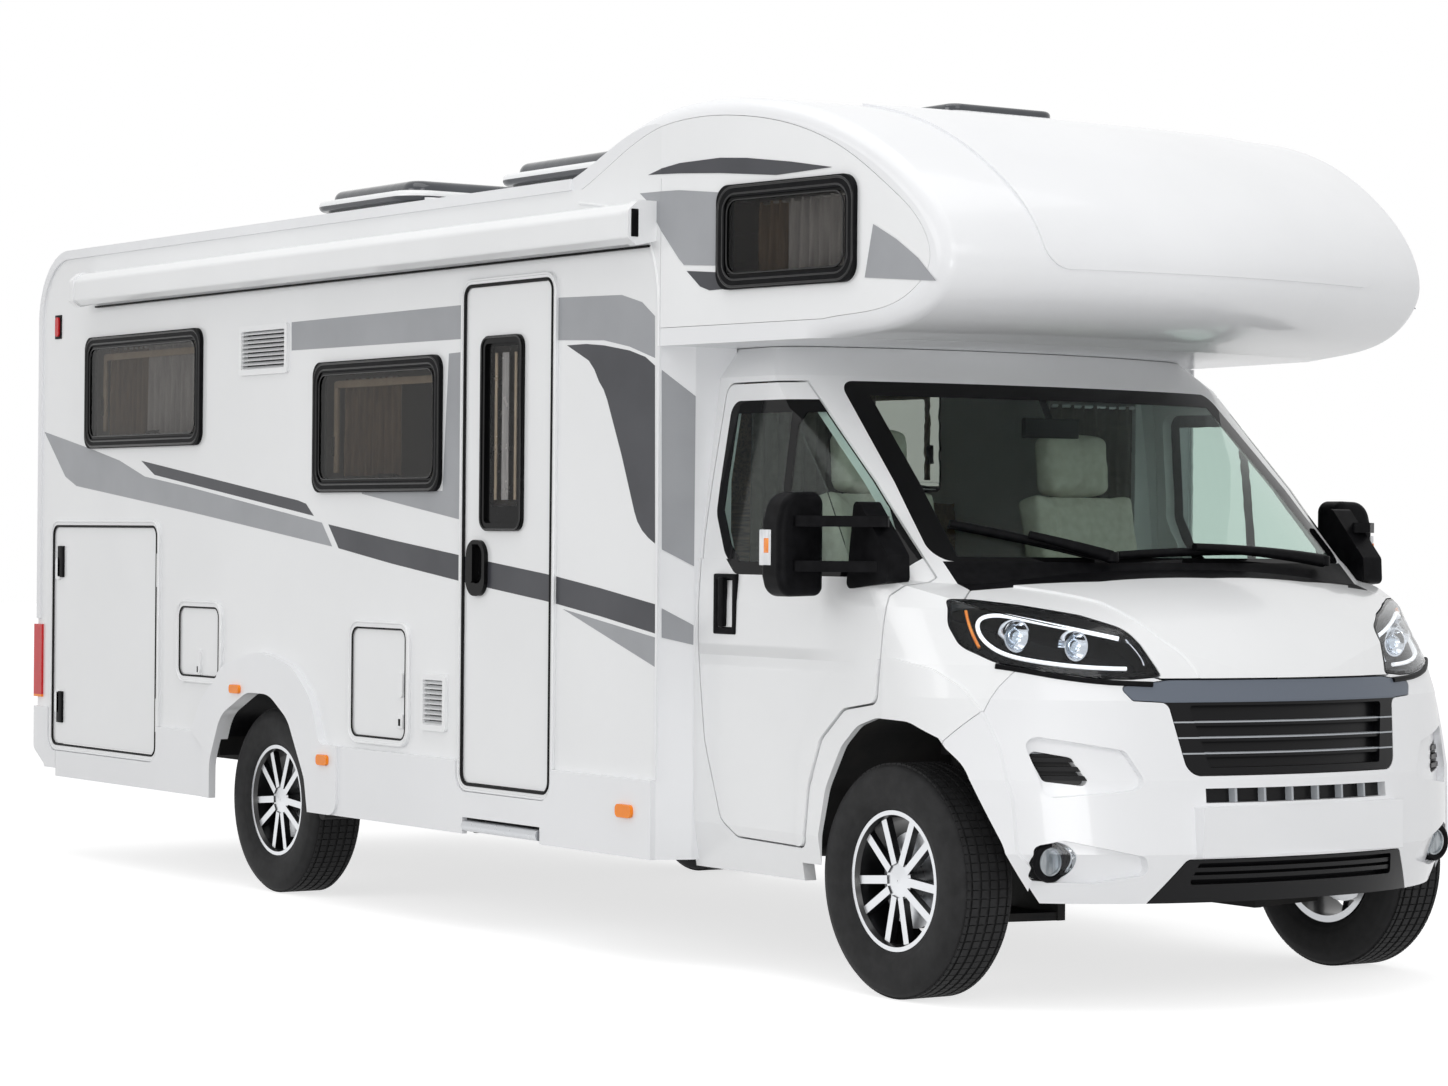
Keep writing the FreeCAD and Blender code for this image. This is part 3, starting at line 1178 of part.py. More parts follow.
def front_bumper(shell, bands, holes):
    bumper = shell.common(bumper_region(0))
    bumper = bumper.fuse([band.common(bumper_region(0)) for band in bands])
    front_x, half, low_z, high_z = NUMBER_PANEL
    bumper = bumper.cut(block(front_x, 3700, -half, half, low_z, high_z))
    panel = block(3380, front_x, -half, half, low_z, high_z).cut(grown_hull(CAB_WALL))
    bumper = bumper.fuse(panel)
    tools = list(holes) + [lower_grille_region(SEAM), slot_region(0)]
    for side in LEFT_AND_RIGHT:
        tools.append(fog_region(side, 62))
        tools.append(cross_prism(mirrored_outline(VENT_OUTLINE, side), 3000, 3600, 14))
    return cut(bumper, tools + recesses(VENT_RECESS, 30, 20) + recesses(FOG_RECESS, 22, 26))


def headlamp(side):
    """The clear cover, and behind it the dark housing with its floor and rim."""
    cover = layer(0, 5, lamp_region(side, 0))
    rim = layer(5, LAMP_DEPTH, lamp_region(side, 0)).cut(lamp_region(side, -9))
    back = layer(LAMP_DEPTH - 8, LAMP_DEPTH, lamp_region(side, -8))
    return cover, rim.fuse(back)


def build_cab():
    hull = grown_hull(0)
    inner = grown_hull(CAB_WALL)
    shell = hull.cut(inner)
    shell = cut(shell, [front_arch(side) for side in LEFT_AND_RIGHT])
    bands = raised_bands()
    holes = [lamp_region(side, SEAM) for side in LEFT_AND_RIGHT] + [grille_region(SEAM)]

    panel = grown_hull(-BONNET_RAISE).common(plan_prism(BONNET_PANEL, 900, 1500, [0, 90, 60, 60, 0, 0, 60, 60, 90, 0]))
    panel = panel.cut(inner).common(bonnet_region(0))
    save("bonnet", cut(shell.common(bonnet_region(0)).fuse(panel), holes))
    save("front_bumper", front_bumper(shell, bands, holes))
    lamps = [headlamp(side) for side in LEFT_AND_RIGHT]
    save("front_lamps", [cover for cover, housing in lamps]
         + [layer(22, FOG_DEPTH, fog_region(side, 58)) for side in LEFT_AND_RIGHT])
    save("lamp_housings", [housing for cover, housing in lamps])
    save("grilles", grilles())

    for side, hand in ((-1, "right"), (1, "left")):
        region = door_region(side, 0)
        door = shell.common(region).fuse([band.common(region) for band in bands])
        save("cab_door_" + hand, door.cut(door_window_region(side)))
        save("door_glass_" + hand, layer(0, GLASS, door_window_region(side)))
    save("windscreen", layer(0, GLASS, windscreen_region(0)))

    rest = cut(shell, [bonnet_region(GAP), bumper_region(SEAM), windscreen_region(0)] + holes)
    rest = cut(rest, [door_region(side, GAP) for side in LEFT_AND_RIGHT])
    cowl_zone = block(2700, 3100, -COWL_HALF, COWL_HALF, 1200, WINDSCREEN_LOW_Z)
    save("cowl_and_wipers", rest.common(cowl_zone))
    rest = rest.cut(cowl_zone)
    wing_zone = side_prism(WING_OUTLINE, -1300, 1300)
    seams = [bumper_region(SEAM), bonnet_region(GAP)] + [door_region(side, GAP) for side in LEFT_AND_RIGHT] + holes
    wing_bands = [cut(band.common(wing_zone), seams) for band in bands]
    save("cab_wings", rest.common(wing_zone).fuse(wing_bands))
    rest = rest.cut(wing_zone)
    roof_zone = block(CAB_REAR_X - 10, 3000, -1200, 1200, WINDSCREEN_HIGH_Z, 2200)
    save("cab_roof", rest.common(roof_zone))
    save("cab_shell", rest.cut(roof_zone))
    save("cab_junction", cab_junction(hull))
    lamp_rooms = [lamp_region(side, GAP) for side in LEFT_AND_RIGHT]
    save("cab_floor", cut(cab_floor(inner), lamp_rooms))
    save("dashboard", cut(dashboard(inner), lamp_rooms))
    save("mirror_right", mirror(-1, hull))
    save("mirror_left", mirror(1, hull))


# Mirrors

MIRROR_X = (2340.0, 2452.0)
MIRROR_FACE = [(1090.0, 1240.0), (1244.0, 1236.0), (1262.0, 1300.0), (1262.0, 1470.0), (1236.0, 1562.0), (1090.0, 1566.0)]
MIRROR_CORNERS = [30, 50, 40, 60, 70, 40]
MIRROR_ROUND = 24.0
ARM_LINE = [
    (2430.0, 1212.0), (2462.0, 1212.0), (2560.0, 1160.0), (2684.0, 1020.0),
    (2640.0, 980.0), (2530.0, 1104.0), (2430.0, 1142.0),
]
ARM_ZS = (1316.0, 1456.0)
ARM_HEIGHT = 34.0


def mirror(side, hull):
    """A rounded housing held by two flat bent arms on a sail-shaped base in the door's front corner."""
    face = mirrored_outline(MIRROR_FACE, side)
    housing = cross_prism(face, MIRROR_X[0], MIRROR_X[1], MIRROR_CORNERS)
    flat_edges = [e for e in housing.Edges if e.BoundBox.XLength < 1]
    housing = housing.makeFillet(MIRROR_ROUND, flat_edges)
    line = [(x, side * y) for x, y in ARM_LINE]
    arms = [plan_prism(line, z, z + ARM_HEIGHT, [0, 8, 40, 10, 10, 60, 0]) for z in ARM_ZS]
    base = side_prism([(2500, 1262), (2720, 1285), (2715, 1370), (2540, 1560)],
                      *sorted((side * 960, side * 1044)), radii=20)
    return fused([housing] + arms + [base]).cut(hull)


# Leaves in the side wall

def leaf(rect, side):
    low, high = sorted((side * (BODY_HALF_WIDTH - WALL + 4), side * (BODY_HALF_WIDTH + LEAF_PROUD)))
    return rect_panel(inset_rect(rect, FRAME_RING + GAP), low, high, DOOR_RADIUS - 25)


def latch(x, z, side):
    low, high = sorted((side * (BODY_HALF_WIDTH + LEAF_PROUD), side * (BODY_HALF_WIDTH + LEAF_PROUD + 10)))
    return side_panel(x - 22, x + 22, z - 48, z + 48, low, high, 18)


def build_leaves():
    x0, x1, z0, z1 = GARAGE_DOOR
    for side, hand in ((-1, "right"), (1, "left")):
        door = leaf(GARAGE_DOOR, side)
        latches = [latch(x0 + 75, z0 + 210, side), latch(x0 + 75, z1 - 210, side)]
        save("garage_door_" + hand, fused([door] + latches))
    x0, x1, z0, z1 = CASSETTE_HATCH
    save("cassette_hatch", fused([leaf(CASSETTE_HATCH, -1), latch((x0 + x1) / 2, z0 + 85, -1)]))
    x0, x1, z0, z1 = GAS_HATCH
    save("gas_hatch", fused([leaf(GAS_HATCH, -1), latch(x1 - 62, (z0 + z1) / 2, -1)]))
    entry = leaf(ENTRY_DOOR, -1)
    window = (470.0, 755.0, 1435.0, 2126.0)
    face = -BODY_HALF_WIDTH - LEAF_PROUD
    entry = entry.cut(rect_panel(inset_rect(window, 14), face - 10, face + 60, 30))
    save("entry_door", entry)
    ring = rect_ring(window, 28, face - 12, face, 45)
    pane = rect_panel(inset_rect(window, 14), face, face + 24, 30)
    bezel = side_panel(382, 512, 1203, 1403, face - 16, face, 58)
    cup = side_panel(418, 494, 1248, 1384, face - 20, face - 5, 34)
    grip = side_panel(424, 450, 1250, 1388, face - 30, face - 1, 12)
    handle = bezel.cut(cup).fuse(grip)
    save("entry_door_fittings", [ring.fuse(pane).removeSplitter(), handle])


# Step under the entry door

def entry_step():
    tread = block(385, 895, -BODY_HALF_WIDTH - 11, -900, 362, 402)
    nosing = cylinder((385, -BODY_HALF_WIDTH - 11, 382), (1, 0, 0), 20, 510)
    return tread.fuse(nosing)


# Cab inside

def cab_floor(inner):
    """The cab's floor, its front bulkhead and a wheel house on each side."""
    floor = block(CAB_REAR_X, 2700, -985, 985, CAB_FLOOR_Z - CAB_FLOOR_THICKNESS, CAB_FLOOR_Z)
    bulkhead = block(2700, 2725, -WHEEL_HOUSE_Y, WHEEL_HOUSE_Y, CAB_FLOOR_Z - CAB_FLOOR_THICKNESS, DASH_LOW_Z)
    houses = []
    for side in LEFT_AND_RIGHT:
        low, high = sorted((side * (WHEEL_HOUSE_Y - 26), side * 985))
        houses.append(side_prism(ahead_of_axle(ARCH_HOUSE[1:-1]), low, high, [0, 150, 150, 150, 150, 0], 26))
    body = fused([floor, bulkhead] + houses)
    return cut(body, [front_arch(side) for side in LEFT_AND_RIGHT]).common(inner)


DASH_LOW_Z = 1000.0
DASH_HALF = 865.0


def dashboard(inner):
    body = side_prism([(2420, DASH_LOW_Z), (2720, DASH_LOW_Z), (2840, 1240), (2800, 1285), (2560, 1250), (2420, 1180)],
                      -DASH_HALF, DASH_HALF, [20, 0, 10, 20, 40, 40])
    column = Part.makeCylinder(36, 400, vec(*WHEEL_CENTRE) - vec(*COLUMN_AXIS) * 400, vec(*COLUMN_AXIS))
    return body.common(inner).cut(column)


def seat(y):
    base = block(1850, 2230, y - 220, y + 220, CAB_FLOOR_Z, 900)
    cushion = side_prism([(1840, 900), (2270, 900), (2280, 1010), (1840, 990)], y - 250, y + 250, 30)
    back = side_prism([(1860, 960), (2000, 1000), (1860, 1590), (1740, 1580)], y - 240, y + 240, 30)
    head = side_prism([(1760, 1600), (1860, 1600), (1840, 1780), (1750, 1780)], y - 130, y + 130, 30)
    posts = block(1790, 1820, y - 60, y + 60, 1560, 1620)
    return fused([base, cushion, back, head, posts])


WHEEL_CENTRE = (2330.0, 440.0, 1190.0)
COLUMN_AXIS = (-0.82, 0.0, 0.572)


def steering_wheel():
    centre = vec(*WHEEL_CENTRE)
    axis = vec(*COLUMN_AXIS)
    ring = Part.makeTorus(190, 15, centre, axis)
    column = Part.makeCylinder(28, 150, centre - axis * 150, axis)
    hub = Part.makeCylinder(62, 40, centre - axis * 34, axis)
    across = axis.cross(vec(0, 1, 0)).normalize()
    spokes = []
    for direction in (vec(0, 1, 0), vec(0, -1, 0), across):
        spokes.append(Part.makeCylinder(13, 185, centre - axis * 8, direction))
    return fused([ring, column, hub] + spokes)


def furniture():
    wall = BODY_HALF_WIDTH - WALL - GAP
    kitchen = block(-740, 250, wall - 565, wall, FLOOR_TOP_Z, 1560)
    wardrobe = block(-1700, -1050, wall - 525, wall, 900, 2500)
    bench = block(-620, 280, -wall, 605 - wall, FLOOR_TOP_Z, 1120)
    bed = block(BODY_REAR_X + WRAP + GAP, -1750, -wall, wall, 1500, 1640)
    return [kitchen, wardrobe, bench, bed]


def main():
    os.makedirs("parts", exist_ok=True)
    build_wheels()
    save("knuckle_right", knuckle(-1))
    save("knuckle_left", knuckle(1))
    save("chassis_frame", chassis_frame())
    save("engine_block", engine_block())
    save("rear_axle", rear_axle())
    save("front_suspension", front_suspension())
    save("tanks_and_exhaust", tanks_and_exhaust())
    save("habitation_floor", habitation_floor())
    save("side_wall_right", side_wall(-1))
    save("side_wall_left", side_wall(1))
    save("rear_wall", rear_wall())
    save("roof_panel", roof_panel())
    build_alcove()
    save("side_skirts", [skirt(side) for side in LEFT_AND_RIGHT])
    save("rear_bumper", rear_bumper())
    save("body_lamps", marker_and_tail_lamps())
    build_windows()
    save("wall_frames", wall_frames())
    build_roof_lights()
    save("awning_case", awning_case())
    build_cab()
    build_leaves()
    save("entry_step", entry_step())
    save("cab_seats", [seat(-440), seat(440)])
    save("steering_wheel", steering_wheel())
    save("furniture", furniture())


main()
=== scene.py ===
import json
import math
import bpy
from mathutils import Matrix, Vector

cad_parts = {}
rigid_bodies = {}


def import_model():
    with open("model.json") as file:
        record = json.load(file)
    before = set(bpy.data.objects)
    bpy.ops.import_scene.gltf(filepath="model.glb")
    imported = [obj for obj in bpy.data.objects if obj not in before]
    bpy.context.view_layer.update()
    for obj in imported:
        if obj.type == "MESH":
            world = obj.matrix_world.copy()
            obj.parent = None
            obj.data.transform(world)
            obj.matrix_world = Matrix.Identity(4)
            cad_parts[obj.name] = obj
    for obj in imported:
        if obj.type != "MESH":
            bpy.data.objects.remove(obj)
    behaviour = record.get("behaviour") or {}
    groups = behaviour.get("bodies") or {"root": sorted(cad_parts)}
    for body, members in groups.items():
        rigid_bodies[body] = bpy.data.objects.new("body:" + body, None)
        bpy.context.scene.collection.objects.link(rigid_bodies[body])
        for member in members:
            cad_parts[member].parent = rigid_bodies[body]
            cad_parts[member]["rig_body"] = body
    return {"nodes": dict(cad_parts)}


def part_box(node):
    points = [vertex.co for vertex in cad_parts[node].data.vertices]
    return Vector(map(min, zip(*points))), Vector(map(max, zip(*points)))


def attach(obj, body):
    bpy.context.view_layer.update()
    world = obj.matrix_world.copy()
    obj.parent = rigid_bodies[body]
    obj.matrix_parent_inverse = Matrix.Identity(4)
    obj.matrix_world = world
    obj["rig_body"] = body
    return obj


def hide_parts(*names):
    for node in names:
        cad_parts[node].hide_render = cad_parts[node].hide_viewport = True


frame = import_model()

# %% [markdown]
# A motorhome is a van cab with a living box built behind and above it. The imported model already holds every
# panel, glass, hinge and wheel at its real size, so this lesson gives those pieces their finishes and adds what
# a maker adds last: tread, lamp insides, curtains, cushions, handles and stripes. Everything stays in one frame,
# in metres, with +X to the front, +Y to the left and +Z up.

nodes = frame["nodes"]
for spare in ("Cube", "Light", "Camera"):
    if spare in bpy.data.objects:
        bpy.data.objects.remove(bpy.data.objects[spare])
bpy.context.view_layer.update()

# %% [markdown]
# Two habits keep every later step safe. Operators act on whatever is selected, so the selection is cleared before
# a piece is added, and faces are picked by where they lie or which way they look. Each finished piece then has
# its place applied to its mesh and rides on the body that carries it.

# %% Selection and finishing helpers
SIDES = ((-1, "right"), (1, "left"))
ALONG_X = (0, math.pi / 2, 0)
UPRIGHT = (math.pi / 2, 0, 0)


def leave_edit():
    bpy.ops.object.mode_set(mode="OBJECT")


def start_piece():
    """Leaves edit mode and clears the selection, so that the next operator acts on the new piece alone."""
    if bpy.context.object and bpy.context.object.mode != "OBJECT":
        leave_edit()
    bpy.ops.object.select_all(action="DESELECT")


def only(piece):
    start_piece()
    piece.select_set(True)
    bpy.context.view_layer.objects.active = piece
    return piece


def named(name):
    """Names the object that an operator has just added."""
    piece = bpy.context.object
    piece.name = name
    piece.data.name = name
    return piece


def added(name, add, location=(0, 0, 0), scale=(1, 1, 1), **settings):
    """Adds a basic mesh by its operator, and applies its place, turn and scale."""
    start_piece()
    add(location=location, **settings)
    piece = named(name)
    piece.scale = scale
    bpy.ops.object.transform_apply()
    return piece


def placed(piece, location, rotation):
    only(piece)
    piece.location = location
    piece.rotation_euler = rotation
    bpy.ops.object.transform_apply()
    return piece


def copy_of(model, name):
    only(model)
    bpy.ops.object.duplicate()
    return named(name)


def edit_all(piece):
    """Opens a piece in edit mode with all of it selected."""
    only(piece)
    bpy.ops.object.mode_set(mode="EDIT")
    bpy.ops.mesh.select_all(action="SELECT")


def pick_faces(piece, test):
    """Selects the faces that pass a test on their middle and their normal, and goes to edit mode."""
    edit_all(piece)
    bpy.ops.mesh.select_mode(type="FACE")
    bpy.ops.mesh.select_all(action="DESELECT")
    leave_edit()
    for face in piece.data.polygons:
        face.select = bool(test(face.center, face.normal))
    bpy.ops.object.mode_set(mode="EDIT")


def modify(piece, kind, **settings):
    """Adds a modifier and applies it at once."""
    only(piece)
    modifier = piece.modifiers.new(kind, kind)
    for key, value in settings.items():
        setattr(modifier, key, value)
    bpy.ops.object.modifier_apply(modifier=modifier.name)
    return piece


def settle(piece, body, material, smooth_angle=35):
    """Applies the place to the mesh, smooths it, gives the finish and lets it ride on a body."""
    only(piece)
    bpy.ops.object.transform_apply()
    bpy.ops.object.shade_smooth_by_angle(angle=math.radians(smooth_angle))
    piece.data.materials.clear()
    piece.data.materials.append(material)
    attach(piece, body)
    return piece


def joined(pieces, name):
    """Makes one mesh of several."""
    only(pieces[0])
    for piece in pieces:
        piece.select_set(True)
    bpy.ops.object.join()
    return named(name)


def mirrored(piece):
    """Moves a piece to the left side, with its faces turned outwards again."""
    only(piece)
    piece.scale = (1, -1, 1)
    bpy.ops.object.transform_apply(location=False, rotation=False, scale=True)
    edit_all(piece)
    bpy.ops.mesh.flip_normals()
    leave_edit()
    return piece


print("helpers ready")

# %% [markdown]
# Many parts start as a line: a seal, a wiper, a strip of light or the outline of a film. One helper draws the
# line and turns it into a mesh. Another makes a bar with rounded edges, for handles, catches and hinges. A bar is
# described on the right side of the vehicle, and with side = 1 it is made at the same place on the left.

# %% Lines and bars
def curve_piece(name, points, closed=False, taper=1.0, **settings):
    """A mesh from a curve: straight steps round a closed outline, or a smooth line between two ends."""
    start_piece()
    curve = bpy.data.curves.new(name, "CURVE")
    for key, value in settings.items():
        setattr(curve, key, value)
    line = curve.splines.new("POLY" if closed else "NURBS")
    line.points.add(len(points) - 1)
    for index, (point, place) in enumerate(zip(line.points, points)):
        point.co = (*place, 1)
        point.radius = 1 + (taper - 1) * index / (len(points) - 1)
    line.use_cyclic_u = closed
    if not closed:
        line.order_u = 3
        line.use_endpoint_u = True
    piece = bpy.data.objects.new(name, curve)
    bpy.context.scene.collection.objects.link(piece)
    only(piece)
    bpy.ops.object.convert(target="MESH")
    return named(name)


def round_line(name, points, radius, taper=1.0, steps=12):
    """A round bar through points in space, thinner at its end by the taper."""
    return curve_piece(name, points, taper=taper, dimensions="3D", bevel_depth=radius, bevel_resolution=3,
                       use_fill_caps=True, resolution_u=steps)


def rod(name, points, radius, material, taper=1.0, steps=12):
    return settle(round_line(name, points, radius, taper, steps), "body", material, 60)


def rounded_bar(name, low, high, round_by, body, material, side=-1):
    """A box between two corners on the right side, with rounded edges and its ends set in a little."""
    low = Vector(low)
    high = Vector(high)
    if side > 0:
        low.y, high.y = -high.y, -low.y
    size = high - low
    piece = added(name, bpy.ops.mesh.primitive_cube_add, (low + high) / 2, size, size=1)
    longest = max(range(3), key=lambda axis: size[axis])
    pick_faces(piece, lambda middle, normal: abs(normal[longest]) > 0.9)
    bpy.ops.mesh.inset(thickness=min(round_by, 0.2 * min(size)), depth=0.0)
    leave_edit()
    modify(piece, "BEVEL", width=round_by, segments=3, limit_method="ANGLE")
    return settle(piece, body, material)


def grown(rect, by):
    """A rectangle (x0, x1, z0, z1) made larger on every side."""
    return rect[0] - by, rect[1] + by, rect[2] - by, rect[3] + by


print("line and bar helpers ready")

# %% [markdown]
# Some pieces wear two finishes with a sharp border, such as the black ceramic band baked on to a windscreen's
# rim. A mask made from Object coordinates draws that border where it lies on the real piece, in metres, so no mesh
# has to be cut for it. The class below lets such a mask be written as a plain sum or comparison.

# %% Values in a material
def math_node(tree, operation, *values):
    """One Math node, whose inputs are numbers or other values."""
    node = tree.nodes.new("ShaderNodeMath")
    node.operation = operation
    for socket, value in zip(node.inputs, values):
        if isinstance(value, Value):
            value.feed(socket)
        else:
            socket.default_value = value
    return Value(tree, node.outputs[0])


def node_method(operation):
    """A method of Value that adds a Math node for itself and the other numbers it is given."""
    return lambda value, *others: math_node(value.tree, operation, value, *others)


class Value:
    """A number that is worked out at each point. Each sum or comparison of it adds one Math node."""
    __add__ = node_method("ADD")
    __sub__ = node_method("SUBTRACT")
    __mul__ = node_method("MULTIPLY")
    __truediv__ = node_method("DIVIDE")
    __mod__ = node_method("FLOORED_MODULO")
    __gt__ = node_method("GREATER_THAN")
    __lt__ = node_method("LESS_THAN")
    __abs__ = node_method("ABSOLUTE")
    smooth_max = node_method("SMOOTH_MAX")

    def __init__(self, tree, socket):
        self.tree = tree
        self.socket = socket

    def __rsub__(self, other):
        return math_node(self.tree, "SUBTRACT", other, self)

    def feed(self, socket):
        self.tree.links.new(self.socket, socket)


def picked(operation, first, *others):
    for other in others:
        first = math_node(first.tree, operation, first, other)
    return first


def largest(*values):
    return picked("MAXIMUM", *values)


def smallest(*values):
    return picked("MINIMUM", *values)


def axis_value(material, axis, source="Object"):
    """The X, Y or Z place of a surface point, or with source Normal that part of its direction."""
    tree = material.node_tree
    where = tree.nodes.new("ShaderNodeTexCoord")
    split = tree.nodes.new("ShaderNodeSeparateXYZ")
    tree.links.new(where.outputs[source], split.inputs["Vector"])
    return Value(tree, split.outputs[axis])


def between(value, low, high):
    """One inside a span of places, nought outside."""
    return (value > low) * (value < high)


def inside(material, x0, x1, z0, z1):
    """One inside a rectangle of the side view."""
    return between(axis_value(material, "X"), x0, x1) * between(axis_value(material, "Z"), z0, z1)


def rim_mask(material, outline, width):
    """One near the edge of a convex outline, drawn anticlockwise in the side view."""
    x = axis_value(material, "X")
    z = axis_value(material, "Z")
    depths = []
    for (x0, z0), (x1, z1) in zip(outline, outline[1:] + outline[:1]):
        length = math.hypot(x1 - x0, z1 - z0)
        across_x = (z0 - z1) / length
        across_z = (x1 - x0) / length
        depths.append(x * across_x + z * across_z - (across_x * x0 + across_z * z0))
    return smallest(*depths) < width


print("values ready")

# %% [markdown]
# Real paint is never one flat number: it has a fine orange-peel ripple, and its tone and gloss drift a little in
# patches. Each finish is a small node tree on Object coordinates, so the pattern has a real scale in metres and
# stays on its panel when a door swings. Colours are written as screen values from 0 to 255.

# %% Material helpers
def linear(colour):
    """Turns screen values into the linear values that Blender's sockets take."""
    shares = [value / 255 for value in colour]
    return (*(s / 12.92 if s <= 0.04045 else ((s + 0.055) / 1.055) ** 2.4 for s in shares), 1.0)


def shader_of(material):
    return material.node_tree.nodes["Principled BSDF"]


def noise(material, scale, detail, stretch=(1, 1, 1)):
    """A noise value on Object coordinates, with its scale in waves a metre."""
    tree = material.node_tree
    place = tree.nodes.new("ShaderNodeTexCoord")
    mapping = tree.nodes.new("ShaderNodeMapping")
    mapping.inputs["Scale"].default_value = stretch
    cloud = tree.nodes.new("ShaderNodeTexNoise")
    cloud.inputs["Scale"].default_value = scale
    cloud.inputs["Detail"].default_value = detail
    tree.links.new(place.outputs["Object"], mapping.inputs["Vector"])
    tree.links.new(mapping.outputs["Vector"], cloud.inputs["Vector"])
    return Value(tree, cloud.outputs["Fac"])


def bumped(material, height, depth):
    """Lets a value from nought to one stand out as bump, by a depth in metres."""
    tree = material.node_tree
    bump = tree.nodes.new("ShaderNodeBump")
    bump.inputs["Strength"].default_value = 1.0
    bump.inputs["Distance"].default_value = depth
    height.feed(bump.inputs["Height"])
    tree.links.new(bump.outputs["Normal"], shader_of(material).inputs["Normal"])


def ripple(material, scale, depth, detail=2.0, stretch=(1, 1, 1)):
    bumped(material, noise(material, scale, detail, stretch), depth)


def uneven_gloss(material, low, high, scale):
    tree = material.node_tree
    spread = tree.nodes.new("ShaderNodeMapRange")
    for socket, value in (("From Min", 0.3), ("From Max", 0.7), ("To Min", low), ("To Max", high)):
        spread.inputs[socket].default_value = value
    noise(material, scale, 3.0).feed(spread.inputs["Value"])
    tree.links.new(spread.outputs["Result"], shader_of(material).inputs["Roughness"])


def coloured_by(material, value, stops, interpolation="LINEAR"):
    """Sends a value through a ramp of places and colours to the base colour."""
    tree = material.node_tree
    node = tree.nodes.new("ShaderNodeValToRGB")
    node.color_ramp.interpolation = interpolation
    elements = node.color_ramp.elements
    for index, (place, colour) in enumerate(stops):
        stop = elements[index] if index < 2 else elements.new(place)
        stop.position = place
        stop.color = linear(colour)
    value.feed(node.inputs["Fac"])
    tree.links.new(node.outputs["Color"], shader_of(material).inputs["Base Color"])


def two_tones(material, value, first, second):
    coloured_by(material, value, [(0.35, first), (0.65, second)])


def wear(material, first, second, scale, stretch=(1, 1, 1)):
    """Blends two colours in soft patches."""
    two_tones(material, noise(material, scale, 4.0, stretch), first, second)


def finish(name, colour, roughness, metallic=0.0, coat=0.0, shine=0.5, tones=None, bump=None, gloss=None):
    """A material. Tones, bump and gloss hold what wear, ripple and uneven_gloss take after the material."""
    material = bpy.data.materials.new(name)
    material.use_nodes = True
    sockets = {"Base Color": linear(colour), "Roughness": roughness, "Metallic": metallic, "Coat Weight": coat,
               "Coat Roughness": 0.06, "Specular IOR Level": shine}
    for socket, value in sockets.items():
        shader_of(material).inputs[socket].default_value = value
    for step, values in ((wear, tones), (ripple, bump), (uneven_gloss, gloss)):
        if values:
            step(material, *values)
    return material


def clear_finish(name, colour, gloss, roughness=0.0, ior=1.25):
    """Glass or clear plastic, which light really passes through."""
    material = finish(name, colour, roughness, gloss=gloss)
    shader_of(material).inputs["Transmission Weight"].default_value = 1.0
    shader_of(material).inputs["IOR"].default_value = ior
    return material


def opaque_where(material, mask, tint, black):
    """Turns glass to an opaque black band where the mask is one."""
    two_tones(material, mask, tint, black)
    (1.0 - mask).feed(shader_of(material).inputs["Transmission Weight"])


print("material helpers ready")

# %% [markdown]
# The camera stands low, ahead and to the right of the nose, where the photograph was taken from. Its place and
# lens were solved from points whose real sizes are known, such as the wheels and the door, so the render can be
# laid over the photograph. The camera hardly looks up or down, which is why upright edges stay parallel.

# %% Camera
CAMERA_PLACE = Vector((11.7866, -7.8201, 1.4185))
CAMERA_AZIMUTH = math.radians(55.7838)
CAMERA_RISE = math.radians(0.0811)
CAMERA_ROLL = math.radians(0.5341)
FOCAL_PIXELS = 3683.74
PHOTO_WIDTH = 1448
SENSOR = 36.0

back = Vector((math.sin(CAMERA_AZIMUTH) * math.cos(CAMERA_RISE),
               -math.cos(CAMERA_AZIMUTH) * math.cos(CAMERA_RISE), math.sin(CAMERA_RISE)))
level_right = Vector((math.cos(CAMERA_AZIMUTH), math.sin(CAMERA_AZIMUTH), 0))
level_up = back.cross(level_right)
right = level_right * math.cos(CAMERA_ROLL) + level_up * math.sin(CAMERA_ROLL)
up = level_up * math.cos(CAMERA_ROLL) - level_right * math.sin(CAMERA_ROLL)

start_piece()
bpy.ops.object.camera_add(location=CAMERA_PLACE)
camera = bpy.context.object
camera.name = "camera"
camera.matrix_world = Matrix.Translation(CAMERA_PLACE) @ Matrix((right, up, back)).transposed().to_4x4()
camera.data.sensor_width = SENSOR
camera.data.lens = FOCAL_PIXELS / PHOTO_WIDTH * SENSOR
camera.data.clip_end = 200
bpy.context.scene.camera = camera
print("lens:", round(camera.data.lens, 2), "mm")

# %% [markdown]
# A studio for a white vehicle needs pale surroundings with soft, even light, or the white paint turns grey or
# clips. One large lamp hangs over the roof, weaker ones stand ahead and at the side, and the world fills the
# shade. The floor catches the shadow. For the camera, glass and mirrors the surroundings are plain white.

# %% Stage and light
SURROUND = (1.0, 1.0, 1.0, 1.0)
FILL_STRENGTH = 0.60
FLOOR_TONE = 0.60
FLOOR_GLOW = 0.72


def seen_or_mirrored(tree):
    """One where the ray comes from the camera, a mirror or glass, nought where it only lights a surface."""
    path = tree.nodes.new("ShaderNodeLightPath")
    kinds = ("Is Camera Ray", "Is Glossy Ray", "Is Transmission Ray")
    return largest(*(Value(tree, path.outputs[kind]) for kind in kinds))


def soft_lamp(name, place, target, size, power):
    start_piece()
    bpy.ops.object.light_add(type="AREA", location=place)
    lamp = bpy.context.object
    lamp.name = name
    lamp.data.shape = "RECTANGLE"
    lamp.data.size, lamp.data.size_y = size
    lamp.data.energy = power
    lamp.rotation_mode = "QUATERNION"
    lamp.rotation_quaternion = (Vector(target) - Vector(place)).to_track_quat("-Z", "Y")


